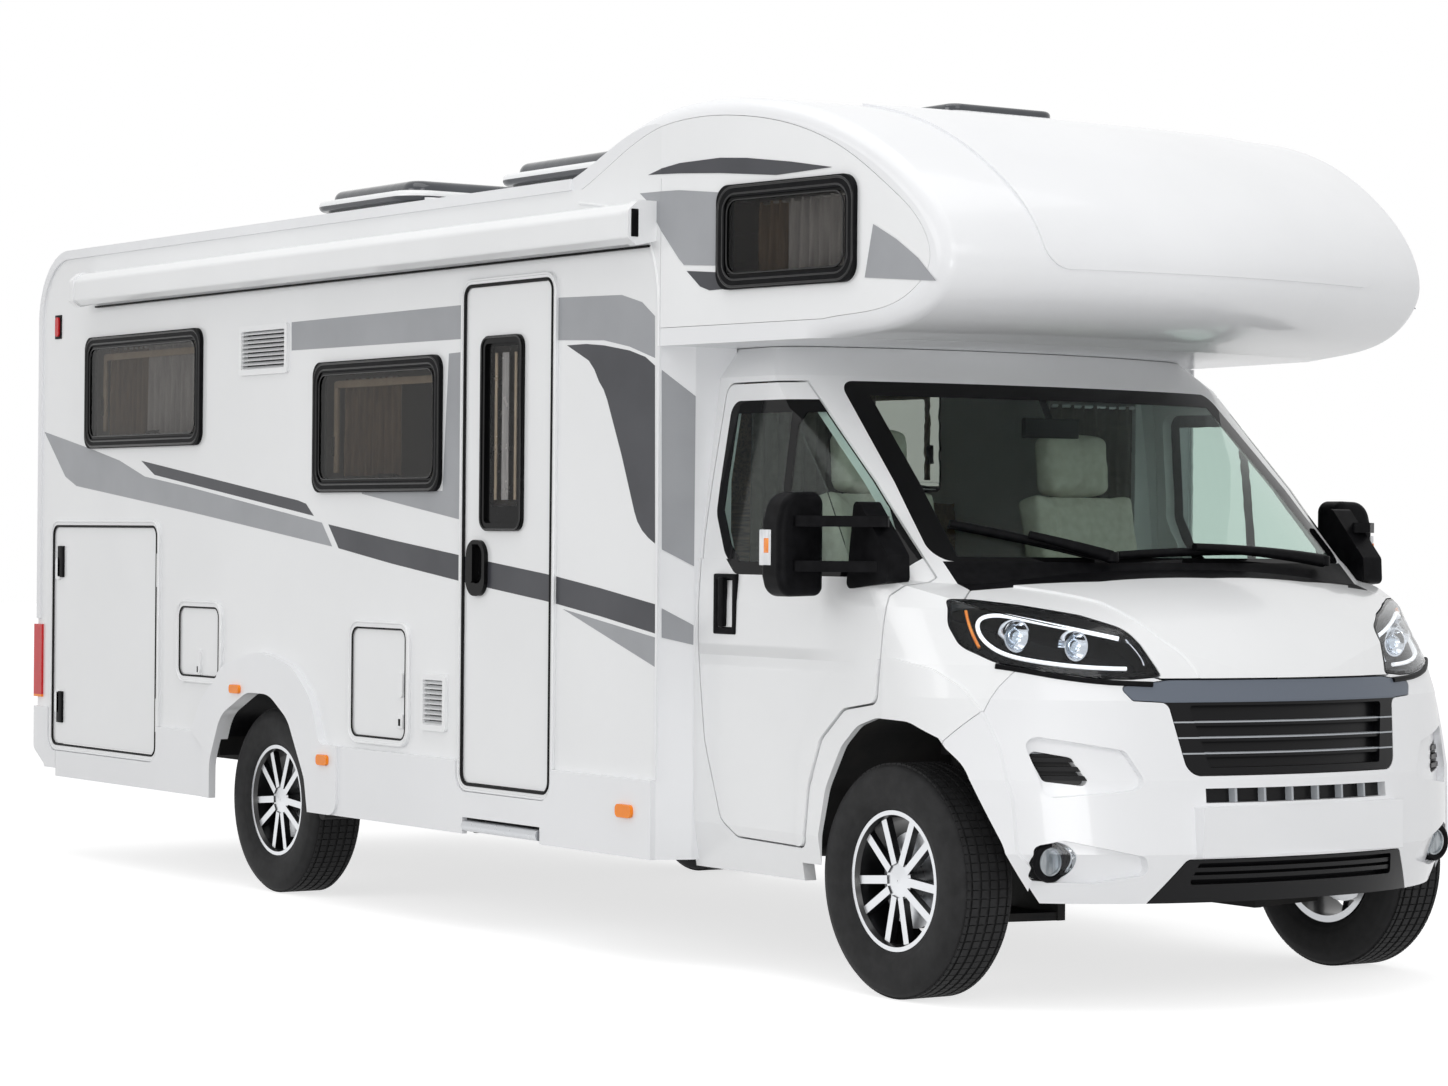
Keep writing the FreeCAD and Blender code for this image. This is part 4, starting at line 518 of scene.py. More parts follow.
world = bpy.data.worlds.new("studio")
bpy.context.scene.world = world
world.use_nodes = True
sky = world.node_tree.nodes["Background"]
sky.inputs["Color"].default_value = SURROUND
strength = seen_or_mirrored(world.node_tree) * (1.0 - FILL_STRENGTH) + FILL_STRENGTH
strength.feed(sky.inputs["Strength"])

floor = added("floor", bpy.ops.mesh.primitive_circle_add, vertices=96, radius=60, fill_type="NGON")
floor_paint = finish("pale_floor", (255, 255, 255), 0.9, shine=0.0)
floor_shader = shader_of(floor_paint)
floor_shader.inputs["Base Color"].default_value = (FLOOR_TONE, FLOOR_TONE, FLOOR_TONE, 1)
floor_shader.inputs["Emission Color"].default_value = SURROUND
(seen_or_mirrored(floor_paint.node_tree) * FLOOR_GLOW).feed(floor_shader.inputs["Emission Strength"])
floor.data.materials.append(floor_paint)

soft_lamp("roof_lamp", (1.5, -1.5, 8.5), (0.5, 0, 1.0), (9.0, 6.0), 210)
soft_lamp("front_lamp", (10.5, -3.0, 5.5), (2.5, 0, 1.2), (5.0, 3.0), 110)
soft_lamp("low_lamp", (9.0, -4.5, 1.0), (2.2, 0, 1.9), (3.0, 1.6), 100)
soft_lamp("side_lamp", (-1.0, -10.0, 4.5), (-0.5, 0, 1.2), (7.0, 3.0), 150)
bpy.context.scene.view_settings.view_transform = "Standard"
print("stage ready")

# %% [markdown]
# The solid finishes come first: two whites, the blacks of plastic, rubber and underbody, a flat black for the
# painted shadow line under the awning, bare metals, wood and cloth. Each has its colour, its roughness, a second
# tone that drifts in patches, and a ripple or grain whose depth is given in metres.

# %% Paint, plastic, rubber, metal, wood and cloth
WHITE = (241, 242, 243)
WHITE_DUSTY = (237, 238, 239)
AMBER = (255, 140, 20)
WEAVE = (2400, 0.0002)

paint = finish("white_paint_gloss", WHITE, 0.30, coat=0.5, tones=(WHITE_DUSTY, WHITE, 1.4), bump=(260, 0.00002))
gelcoat = finish("white_gelcoat", WHITE, 0.34, coat=0.35, tones=((235, 236, 238), (240, 241, 243), 1.1),
                 bump=(90, 0.00004))
black_plastic = finish("black_grained_plastic", (14, 14, 16), 0.45, shine=0.06,
                       tones=((10, 10, 12), (19, 19, 21), 30), bump=(1400, 0.00006))
dash_plastic = finish("slate_dashboard", (62, 70, 76), 0.62, shine=0.3,
                      tones=((56, 63, 69), (68, 76, 82), 12), bump=(900, 0.0001))
rubber = finish("tyre_rubber_black", (28, 28, 29), 0.75, shine=0.3,
                tones=((23, 23, 24), (34, 34, 35), 22), bump=(420, 0.0002, 4.0))
underbody = finish("underbody_black", (24, 24, 25), 0.7, shine=0.25,
                   tones=((20, 20, 21), (38, 37, 36), 7), bump=(120, 0.0004, 4.0))
seal_black = finish("seal_rubber_black", (12, 12, 13), 0.6, shine=0.15, tones=((9, 9, 10), (16, 16, 17), 50))
# A flat black that stands in for the awning case's shadow on the wall: painted shadow, not a gasket.
painted_shadow_line_black = finish("painted_awning_shadow_black", (14, 14, 15), 0.6, shine=0.1, tones=((11, 11, 12), (18, 18, 19), 50))
lip_black = finish("window_lip_black", (13, 13, 14), 0.25, coat=0.1, shine=0.3,
                   tones=((10, 10, 11), (18, 18, 20), 40))
dark_dome = finish("smoked_roof_dome", (52, 56, 62), 0.12, coat=0.5, tones=((46, 50, 56), (62, 66, 72), 4),
                   bump=(22, 0.0012, 0.0, (1, 0.05, 1)))
iron = finish("cast_iron", (92, 92, 90), 0.65, metallic=0.7, tones=((80, 79, 77), (108, 107, 105), 18),
              bump=(320, 0.0003, 4.0))
silver = finish("anodised_silver", (196, 198, 201), 0.32, metallic=0.9, bump=(60, 0.00005, 2.0, (0.2, 6, 6)),
                gloss=(0.26, 0.4, 40))
chrome = finish("lamp_chrome", (214, 217, 222), 0.12, metallic=1.0, gloss=(0.08, 0.16, 50))
wood = finish("cabinet_wood_grain", (150, 118, 84), 0.45, tones=((122, 92, 62), (168, 134, 98), 9, (1, 14, 14)),
              bump=(40, 0.0002, 4.0, (0.5, 10, 10)))
cream = finish("cream_blind_cassette", (206, 190, 168), 0.55, tones=((198, 182, 160), (212, 197, 176), 16),
               bump=(300, 0.0001))
upholstery = finish("ivory_upholstery", (214, 208, 196), 0.85, tones=((206, 199, 186), (222, 217, 206), 30),
                    bump=(900, 0.0003, 3.0))
curtain_grey = finish("grey_curtain_weave", (196, 197, 200), 0.9, bump=WEAVE,
                      tones=((182, 183, 187), (210, 211, 214), 60, (1, 1, 0.1)))
curtain_brown = finish("brown_curtain_weave", (120, 102, 84), 0.9, bump=WEAVE,
                       tones=((104, 88, 72), (136, 117, 97), 60, (1, 1, 0.1)))
cab_curtain = finish("slate_cab_curtain", (74, 68, 64), 0.92, bump=WEAVE,
                     tones=((64, 58, 54), (84, 78, 73), 60, (0.1, 1, 1)))
print("solid finishes:", len(bpy.data.materials))

# %% [markdown]
# Lamps need lenses and light of their own. A clear cover lets the bowls behind it show, amber and red lenses
# glow a little inside, and the daylight band gives its own light. The small body lamps share one finish, which is
# red only high up at the rear, because that is where their red ones sit.

# %% Lamp finishes
RED = (205, 22, 30)
RED_LAMPS_BEHIND_X = -3.0
RED_LAMPS_ABOVE_Z = 0.70
LED_GLOW = 0.55

lamp_cover = clear_finish("headlamp_cover", (244, 247, 250), (0.0, 0.015, 6))
bulb_glass = clear_finish("projector_glass", (226, 234, 240), (0.0, 0.03, 30), 0.02, 1.5)
marker = finish("amber_and_red_lens", AMBER, 0.22, coat=0.1, shine=0.3, bump=(260, 0.0004, 0.0, (1, 0.2, 1)))
at_rear = axis_value(marker, "X") < RED_LAMPS_BEHIND_X
two_tones(marker, at_rear * (axis_value(marker, "Z") > RED_LAMPS_ABOVE_Z), AMBER, RED)
shader_of(marker).inputs["Subsurface Weight"].default_value = 0.1
led_white = finish("daylight_band", (250, 250, 248), 0.35, tones=((244, 246, 248), (252, 252, 250), 60))
shader_of(led_white).inputs["Emission Color"].default_value = (1, 1, 1, 1)
shader_of(led_white).inputs["Emission Strength"].default_value = LED_GLOW
amber_strip = finish("amber_strip", AMBER, 0.25, coat=0.5, tones=((244, 128, 12), (255, 150, 34), 50))
fog_glass = finish("fog_lamp_glass", (150, 156, 160), 0.2, metallic=0.4,
                   tones=((110, 116, 120), (178, 183, 187), 40, (1, 1, 0.2)),
                   bump=(240, 0.0006, 0.0, (1, 1, 0.15)))
clear_marker = finish("clear_indicator", (226, 228, 231), 0.1, coat=0.8,
                      tones=((206, 209, 213), (240, 241, 243), 45, (1, 1, 0.2)),
                      bump=(180, 0.0008, 0.0, (1, 1, 0.1)))
print("lamp finishes ready")

# %% [markdown]
# The alloy wheels are cast, painted black, and then faced on a lathe, so only what looks straight out is bright
# metal and the flanks stay black. The node tree says the same: where the surface's own normal points along the
# axle, the finish turns from gloss black to bare metal.

# %% Machined alloy
FACED = 0.93
RIM_BLACK = (16, 16, 18)
alloy = finish("faced_alloy", RIM_BLACK, 0.28, coat=0.2, bump=(500, 0.00004))
cut_face = abs(axis_value(alloy, "Y", "Normal")) > FACED
two_tones(alloy, cut_face, RIM_BLACK, (214, 216, 219))
cut_face.feed(shader_of(alloy).inputs["Metallic"])
print("alloy ready")

# %% [markdown]
# Glass is where a vehicle looks alive. The cab's glass has a faint green-grey tint and a black band along its
# edges, which hides the glue. The living windows are double acrylic with a smoke tint, and their black rim is part
# of the pane, so only a rectangle in the middle is clear.

# %% Glass with a black rim
BAND_BLACK = (12, 12, 13)
GLASS_TINT = (214, 228, 222)
PANE_TINT = (168, 165, 161)
SCREEN_LOW = (0.836, 1.334)
SCREEN_HIGH = (0.762, 1.928)
SCREEN_BAND = 0.045
PILLAR_X = (2.085, 2.125)
DOOR_WINDOW = [(1.735, 1.870), (1.712, 1.500), (1.780, 1.370), (1.860, 1.300), (2.655, 1.300), (2.690, 1.372),
               (2.525, 1.570), (2.300, 1.790), (2.190, 1.868)]
DOOR_RIM = 0.042
WINDOW_RECTS = {"rear_window": (-2.895, -1.778, 1.776, 2.253), "bench_window": (-0.803, 0.175, 1.577, 2.075),
                "alcove_window": (1.902, 2.557, 2.219, 2.557)}
WINDOW_BAND = 0.052
DOOR_CLEAR = (0.523, 0.708, 1.522, 2.090)

screen_glass = clear_finish("windscreen_glass", GLASS_TINT, (0.0, 0.012, 3))
z = axis_value(screen_glass, "Z")
lean = (SCREEN_LOW[0] - SCREEN_HIGH[0]) / (SCREEN_HIGH[1] - SCREEN_LOW[1])
edge = (z - SCREEN_LOW[1]) * lean + abs(axis_value(screen_glass, "Y"))
band = largest(edge > SCREEN_LOW[0] - SCREEN_BAND, z > SCREEN_HIGH[1] - SCREEN_BAND,
               z < SCREEN_LOW[1] + SCREEN_BAND * 0.7)
opaque_where(screen_glass, band, GLASS_TINT, BAND_BLACK)

door_glass = clear_finish("door_window_glass", GLASS_TINT, (0.0, 0.012, 3))
pillar = between(axis_value(door_glass, "X"), *PILLAR_X)
opaque_where(door_glass, largest(pillar, rim_mask(door_glass, DOOR_WINDOW, DOOR_RIM)), GLASS_TINT, BAND_BLACK)

smoke = clear_finish("smoked_window", PANE_TINT, (0.0, 0.02, 4), ior=1.2)
clear = largest(*(inside(smoke, *grown(rect, -WINDOW_BAND)) for rect in WINDOW_RECTS.values()))
opaque_where(smoke, 1.0 - clear, PANE_TINT, BAND_BLACK)

door_fittings = clear_finish("entry_door_glass_and_black", PANE_TINT, (0.05, 0.3, 20), ior=1.2)
opaque_where(door_fittings, 1.0 - inside(door_fittings, *DOOR_CLEAR), PANE_TINT, BAND_BLACK)
print("glass ready")

# %% [markdown]
# The grille is one piece with three finishes: a slate bar on top, black slats, and a bright edge on each slat and
# on each upright of the lower slots. Slats repeat at a fixed pitch, so the remainder of a division by the pitch
# finds every edge at once.

# %% Grille
BAR_LOW_Z = 0.934
SLAT_SPAN = (0.768, 0.878)
SLAT_PITCH = 0.047
SLAT_EDGE_Z = 0.7785
EDGE = 0.0045
SLOT_SPAN = (0.630, 0.678)
SLOT_PITCH = 0.1063
GRILLE_TONES = [(0.0, (15, 15, 17)), (0.4, (104, 111, 122)), (0.9, (176, 180, 185))]
grille_finish = finish("grille_black_and_slate", (10, 10, 11), 0.32, coat=0.05, shine=0.15, bump=(700, 0.00004))
z = axis_value(grille_finish, "Z")
from_slat = (z - SLAT_EDGE_Z) % SLAT_PITCH
from_slot = (abs(axis_value(grille_finish, "Y")) + (SLOT_PITCH / 2 + EDGE)) % SLOT_PITCH
slat_edge = (from_slat < EDGE) * between(z, *SLAT_SPAN)
slot_bar = (from_slot < 2 * EDGE) * between(z, *SLOT_SPAN)
tone = (z > BAR_LOW_Z) * 0.5 + largest(slat_edge, slot_bar)
coloured_by(grille_finish, tone, GRILLE_TONES, "CONSTANT")
print("grille ready")

# %% [markdown]
# Three whites change with place. The wall frames turn dark inside the two vents, the roof lights have a tinted
# band between brim and dome, and the cab doors have a pressed crease low down that fades out towards the front.
# The crease is too soft for an edge, so it is a bump with the shape of a shallow valley.

# %% White finishes by place
VENTS = [(-1.428, -1.040, 2.058, 2.228), (0.058, 0.218, 0.720, 0.902)]
VENT_FACE_Y = 1.1480
BRIM_SPLIT = (2.745, 2.812)
ROOF_LIGHT_SPANS = [(-2.275, -1.405), (-0.745, 0.125)]
CREASE_Z = 1.035
CREASE_HALF = 0.036
CREASE_DEPTH = 0.020
CREASE_FADE = (2.28, 2.56)
CREASE_SOFT = 0.25

frame_paint = finish("white_frame_with_dark_vents", WHITE, 0.32, coat=0.4, bump=(260, 0.00002))
in_vent = largest(*(inside(frame_paint, *vent) for vent in VENTS))
two_tones(frame_paint, in_vent * (abs(axis_value(frame_paint, "Y")) < VENT_FACE_Y), WHITE, (18, 18, 20))

brim_white = finish("roof_light_white_and_tint", WHITE, 0.3, coat=0.3, bump=(90, 0.00004))
tinted = largest(*(inside(brim_white, low, high, *BRIM_SPLIT) for low, high in ROOF_LIGHT_SPANS))
two_tones(brim_white, tinted, WHITE, (60, 63, 68))

door_paint = finish("white_paint_creased", WHITE, 0.30, coat=0.5, tones=(WHITE_DUSTY, WHITE, 1.4))
away = abs(axis_value(door_paint, "Z") - CREASE_Z)
groove = (1.0 - away / CREASE_HALF).smooth_max(0.0, CREASE_SOFT)
fade = (CREASE_FADE[1] - axis_value(door_paint, "X")) / (CREASE_FADE[1] - CREASE_FADE[0])
bumped(door_paint, groove * smallest(largest(fade, 0.0), 1.0) * -1.0, CREASE_DEPTH)
print("white finishes by place ready")

# %% [markdown]
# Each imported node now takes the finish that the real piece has. The list is by material, as a paint shop would
# write it, and it covers every node, also those under the floor that only show from low down.

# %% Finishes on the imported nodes
WEARS = {
    door_paint: ["cab_door_left", "cab_door_right"],
    frame_paint: ["wall_frames"],
    brim_white: ["roof_lights"],
    door_fittings: ["entry_door_fittings"],
    paint: ["bonnet", "cab_shell", "cab_roof", "cab_wings", "side_wall_left", "side_wall_right", "alcove_sides",
            "entry_door", "garage_door_left", "garage_door_right", "cassette_hatch", "gas_hatch", "awning_case"],
    gelcoat: ["alcove_nose", "cab_junction", "front_bumper", "rear_bumper", "rear_wall", "roof_panel",
              "side_skirts"],
    underbody: ["cab_floor", "chassis_frame", "front_suspension", "knuckle_left", "knuckle_right", "rear_axle",
                "tanks_and_exhaust"],
    black_plastic: ["cowl_and_wipers", "habitation_floor", "lamp_housings", "mirror_left", "mirror_right",
                    "steering_wheel", "window_frames"],
    grille_finish: ["grilles"],
    dark_dome: ["roof_domes"],
    dash_plastic: ["dashboard"],
    iron: ["engine_block"],
    silver: ["entry_step"],
    screen_glass: ["windscreen"],
    door_glass: ["door_glass_left", "door_glass_right"],
    smoke: ["window_panes"],
    lamp_cover: ["front_lamps"],
    marker: ["body_lamps"],
    wood: ["furniture"],
    alloy: ["rim_front_left", "rim_front_right", "rim_rear_left", "rim_rear_right"],
    rubber: ["tyre_front_left", "tyre_front_right", "tyre_rear_left", "tyre_rear_right"],
    upholstery: ["cab_seats"],
}
for material, members in WEARS.items():
    for node in members:
        nodes[node].data.materials.clear()
        nodes[node].data.materials.append(material)
print("nodes dressed:", sum(len(members) for members in WEARS.values()), "of", len(nodes))

# %% [markdown]
# The stripes on the sides are vinyl film in two greys, cut to long curved blades. Each is drawn as a flat outline
# in the side view and laid half a millimetre proud of its panel. A film can be cut off at an upright line, and
# turned about such a line on to a panel that slants.

# %% Vinyl film
WALL_Y = 1.161
FILM = 0.0005
FAR = 9.0

film_light = finish("light_grey_film", (158, 160, 164), 0.38, coat=0.15, shine=0.35,
                    tones=((153, 155, 159), (162, 164, 168), 3), bump=(600, 0.00001))
film_dark = finish("dark_grey_film", (66, 67, 72), 0.36, coat=0.1, shine=0.25,
                   tones=((61, 62, 67), (71, 72, 77), 3), bump=(600, 0.00001))


def film_sheet(name, outline, wall_y, keep=None):
    """A flat outline in the side view, standing at the right wall, cut off outside keep = (x0, x1)."""
    flat = [(x, z, 0) for x, z in outline]
    sheet = curve_piece(name, flat, closed=True, dimensions="2D", fill_mode="BOTH")
    placed(sheet, (0, -wall_y - FILM, 0), UPRIGHT)
    if keep:
        for x, clear_inner in ((keep[0], True), (keep[1], False)):
            edit_all(sheet)
            bpy.ops.mesh.bisect(plane_co=(x, 0, 0), plane_no=(1, 0, 0), clear_inner=clear_inner,
                                clear_outer=not clear_inner)
            leave_edit()
    return sheet


def turned_onto(sheet, hinge_x, wall_y, angle):
    """Turns an outline about the upright edge at hinge_x, to lie on a panel that tapers inwards."""
    only(sheet)
    pivot = Matrix.Translation((hinge_x, -wall_y, 0))
    sheet.data.transform(pivot @ Matrix.Rotation(angle, 4, "Z") @ pivot.inverted())
    return sheet


print("film ready")

# %% [markdown]
# Where a blade crosses the entry door it is cut at the door's frame, and the door's part rides on the door, so it
# opens with it. The high band stops on either side of the door. The left side has the same set, mirrored and
# uncut, because it has no door.

# %% Stripes on the side walls
DOOR_GAP = (0.323, 0.968)
DOOR_LEAF = (0.349, 0.942)
NOT_ON_DOOR = ("high_band",)
SIDE_BLADES = {
    "low_blade": (film_light, [
        (-3.346, 1.858), (-2.842, 1.773), (-2.567, 1.722), (-2.317, 1.652), (-1.878, 1.603), (-0.745, 1.462),
        (-0.660, 1.371), (-1.876, 1.503), (-3.003, 1.617), (-3.120, 1.659)]),
    "dark_blade": (film_dark, [
        (-2.354, 1.719), (-0.942, 1.548), (-0.877, 1.535), (-0.811, 1.488), (-2.224, 1.658)]),
    "long_band": (film_dark, [
        (-0.693, 1.456), (-0.2, 1.400), (0.308, 1.347), (0.905, 1.288), (1.25, 1.245), (1.592, 1.197),
        (1.594, 1.100), (1.25, 1.150), (0.907, 1.194), (0.310, 1.254), (-0.2, 1.312), (-0.609, 1.365)]),
    "tail_blade": (film_light, [(1.012, 1.169), (1.594, 1.087), (1.596, 0.989)]),
    "high_band": (film_light, [
        (-1.009, 2.241), (0.308, 2.246), (0.980, 2.240), (1.371, 2.230), (1.497, 2.200), (1.576, 2.150),
        (1.579, 2.011), (1.422, 2.055), (1.262, 2.082), (0.983, 2.093), (0.311, 2.124), (-1.007, 2.131)]),
    "window_tail": (film_light, [
        (0.216, 2.075), (0.307, 2.077), (0.306, 1.475), (-0.429, 1.571), (-0.429, 1.579), (0.178, 1.579)]),
    "big_blade": (film_dark, [
        (1.025, 2.074), (1.150, 2.074), (1.262, 2.065), (1.422, 2.042), (1.520, 2.017), (1.579, 1.986),
        (1.589, 1.397), (1.548, 1.416), (1.510, 1.440), (1.480, 1.470), (1.461, 1.503), (1.380, 1.690),
        (1.286, 1.880), (1.263, 1.915), (1.232, 1.945), (1.203, 1.985), (1.166, 2.017)]),
}

door_face_y = -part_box("entry_door")[0].y
for name, (film, outline) in SIDE_BLADES.items():
    settle(mirrored(film_sheet(name + "_left", outline, WALL_Y)), "body", film)
    if min(outline)[0] < DOOR_LEAF[0] and max(outline)[0] > DOOR_LEAF[1]:
        settle(film_sheet(name + "_rear", outline, WALL_Y, (-FAR, DOOR_GAP[0])), "body", film)
        settle(film_sheet(name + "_ahead", outline, WALL_Y, (DOOR_GAP[1], FAR)), "body", film)
        if name not in NOT_ON_DOOR:
            settle(film_sheet(name + "_door", outline, door_face_y, DOOR_LEAF), "living_door", film)
    else:
        settle(film_sheet(name, outline, WALL_Y), "body", film)
print("blades on each side:", len(SIDE_BLADES))

# %% [markdown]
# The nose over the cab carries more film. Its side panels turn inwards as they go forward, so those outlines are
# drawn as if the wall went on flat, and then turned about the body's front edge on to the panel. The narrow filler
# behind the cab door slants too, and takes two short pieces.

# %% Stripes on the nose and the fillers
NOSE_HINGE_X = 1.605
NOSE_TURN = math.atan(0.118)
NOSE_STANDOFF = 0.0012
NOSE_BLADES = {
    "nose_crescent": (film_dark, [
        (1.525, 2.620), (1.610, 2.636), (1.701, 2.647), (1.903, 2.650), (2.035, 2.640), (2.241, 2.614),
        (2.442, 2.582), (2.178, 2.575), (1.904, 2.600), (1.700, 2.613)]),
    "nose_light": (film_light, [
        (1.477, 2.563), (1.700, 2.558), (1.918, 2.536), (1.921, 2.299), (1.727, 2.311), (1.699, 2.335),
        (1.576, 2.465), (1.527, 2.531)]),
    "nose_dark": (film_dark, [(1.741, 2.291), (1.924, 2.277), (1.975, 2.224), (1.856, 2.222), (1.809, 2.237)]),
    "nose_ahead": (film_light, [(2.630, 2.393), (2.737, 2.339), (2.832, 2.277), (2.911, 2.204), (2.594, 2.229)]),
}
FILLER_START = Vector((1.605, -1.161, 0))
FILLER_END = Vector((1.647, -1.044, 0))
FILLERS = {"filler_low": [(0.015, 1.184), (0.124, 1.128), (0.124, 1.063), (0.016, 1.087)],
           "filler_high": [(0.008, 1.971), (0.124, 1.886), (0.124, 1.323), (0.014, 1.378)]}


def onto_nose(piece):
    return turned_onto(piece, NOSE_HINGE_X, WALL_Y, NOSE_TURN)


def nose_sheet(name, outline):
    """A film that is split at the hinge line, with its forward part turned on to the tapered panel."""
    if min(outline)[0] > NOSE_HINGE_X:
        return onto_nose(film_sheet(name, outline, WALL_Y + NOSE_STANDOFF))
    rear = film_sheet(name + "_flat", outline, WALL_Y, (-FAR, NOSE_HINGE_X))
    ahead = onto_nose(film_sheet(name, outline, WALL_Y + NOSE_STANDOFF, (NOSE_HINGE_X, FAR)))
    return joined([rear, ahead], name)


def filler_sheet(name, outline):
    """Outline points are the distance along the slanted filler and the height."""
    along = FILLER_END - FILLER_START
    sheet = film_sheet(name, outline, NOSE_STANDOFF)
    turn = Matrix.Rotation(math.atan2(along.y, along.x), 4, "Z")
    sheet.data.transform(Matrix.Translation(FILLER_START) @ turn)
    return sheet


for name, (film, outline) in NOSE_BLADES.items():
    settle(nose_sheet(name, outline), "body", film)
    settle(mirrored(nose_sheet(name + "_left", outline)), "body", film)
for name, outline in FILLERS.items():
    settle(filler_sheet(name, outline), "body", film_light)
    settle(mirrored(filler_sheet(name + "_left", outline)), "body", film_light)
print("nose and filler films:", 2 * (len(NOSE_BLADES) + len(FILLERS)))

# %% [markdown]
# A tyre's tread is a ring of rubber blocks between grooves. The section of one tyre is drawn as a line of edges
# and spun about the axle. Each face of the tread band is then inset and raised by itself, which leaves the grooves
# and the narrow cuts between the blocks, all round, in one step. One tyre is modelled and copied to four wheels.

# %% Tyres with tread
TYRE_RADIUS = 0.365
TREAD_DEPTH = 0.007
TREAD_STEPS = 84
TREAD_HALF = 0.0838
BLOCK_GAP = 0.0022
TREAD_EDGES = [-0.084, -0.070, -0.0645, -0.0375, -0.030, -0.004, 0.004, 0.030, 0.0375, 0.0645, 0.070, 0.084]
GROOVES = list(zip(TREAD_EDGES[1::2], TREAD_EDGES[2::2]))
SIDE_LINE = [(0.218, 0.0845), (0.226, 0.0955), (0.240, 0.1035), (0.246, 0.1045), (0.248, 0.1060),
             (0.262, 0.1105), (0.293, 0.1125), (0.318, 0.1110), (0.330, 0.1080), (0.333, 0.1055),
             (0.346, 0.1010), (0.355, 0.0930)]


def tyre_section():
    """Points of radius and place across, from the outer bead over the tread to the inner bead."""
    tread = [(TYRE_RADIUS - TREAD_DEPTH, across) for across in reversed(TREAD_EDGES)]
    inner = [(radius, -across) for radius, across in reversed(SIDE_LINE)]
    return SIDE_LINE + tread + inner


def is_block(middle, normal):
    """True for a face of the tread band that isn't the bottom of a groove."""
    on_tread = math.hypot(middle.x, middle.z) > TYRE_RADIUS - TREAD_DEPTH - 0.003 and abs(middle.y) < TREAD_HALF
    return on_tread and not any(low < middle.y < high for low, high in GROOVES)


def modelled_tyre():
    start_piece()
    section = tyre_section()
    mesh = bpy.data.meshes.new("tyre_section")
    mesh.from_pydata([(radius, across, 0) for radius, across in section],
                     [(i, (i + 1) % len(section)) for i in range(len(section))], [])
    tyre = bpy.data.objects.new("tyre_model", mesh)
    bpy.context.scene.collection.objects.link(tyre)
    edit_all(tyre)
    bpy.ops.mesh.spin(steps=TREAD_STEPS, angle=2 * math.pi, center=(0, 0, 0), axis=(0, 1, 0))
    bpy.ops.mesh.select_all(action="SELECT")
    bpy.ops.mesh.remove_doubles(threshold=0.0002)
    bpy.ops.mesh.normals_make_consistent(inside=False)
    leave_edit()
    pick_faces(tyre, is_block)
    bpy.ops.mesh.inset(thickness=BLOCK_GAP, depth=0, use_individual=True, use_even_offset=False)
    bpy.ops.mesh.extrude_faces_move(TRANSFORM_OT_shrink_fatten={"value": TREAD_DEPTH - 0.0006})
    leave_edit()
    return tyre


def onto_wheel(model, node):
    """A copy of the modelled tyre at a packed tyre's place, turned round on the left side."""
    low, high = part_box(node)
    tyre = copy_of(model, node + "_treaded")
    tyre.location = (low + high) / 2
    if low.y > 0:
        tyre.rotation_euler = (0, 0, math.pi)
    settle(tyre, nodes[node]["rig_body"], rubber, 30)
    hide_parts(node)
    return tyre


tyre_model = modelled_tyre()
for node in WEARS[rubber]:
    fitted = onto_wheel(tyre_model, node)
bpy.data.objects.remove(tyre_model)

# %% [markdown]
# Behind the dark panes hang pleated curtains. A curtain is a flat cloth that a gathering tape draws into folds, so
# each is a fine grid whose points are pushed in and out along its width, deeper towards the hem, and its flat
# width is measured along the folds. It hangs from a slim rail behind the pane's top edge.

# %% Curtains
PLEAT = 0.052
PLEAT_DEPTH = 0.015
STEPS_A_PLEAT = 14
ROWS = 14
RAIL_RADIUS = 0.007
CURTAIN_Y = 1.095
NOSE_CURTAIN_Y = 1.020


def rail(name, x0, x1, y, z):
    piece = added(name, bpy.ops.mesh.primitive_cylinder_add, ((x0 + x1) / 2, y, z), vertices=20,
                  radius=RAIL_RADIUS, depth=x1 - x0, rotation=ALONG_X)
    modify(piece, "BEVEL", width=0.002, segments=2)
    return settle(piece, "body", silver)


def curtain(name, x0, x1, z0, z1, y, cloth):
    """A pleated cloth across x0 to x1, hanging from its own rail at z1."""
    hanger = rail(name + "_rail", x0, x1, y, z1 - 0.004)
    piece = added(name, bpy.ops.mesh.primitive_grid_add, ((x0 + x1) / 2, y, (z0 + z1) / 2),
                  (x1 - x0, z1 - z0, 1), x_subdivisions=int((x1 - x0) / PLEAT * STEPS_A_PLEAT),
                  y_subdivisions=ROWS, size=1, rotation=UPRIGHT)
    for vertex in piece.data.vertices:
        down = (z1 - vertex.co.z) / (z1 - z0)
        phase = 2 * math.pi * (vertex.co.x - x0) / PLEAT
        sway = 0.5 * math.sin(phase * 0.31 + 1.3) + 0.35 * math.sin(phase * 0.17)
        fold = math.sin(phase + sway + 0.5 * down * math.sin(phase * 0.23))
        vertex.co.y = y + PLEAT_DEPTH * (0.75 + 0.25 * down) * fold
    hem = sorted((v.co for v in piece.data.vertices if abs(v.co.z - z0) < 0.0005), key=lambda co: co.x)
    width = sum((b - a).length for a, b in zip(hem[:-1], hem[1:]))
    settle(piece, "body", cloth, 60)
    return piece, hanger, width


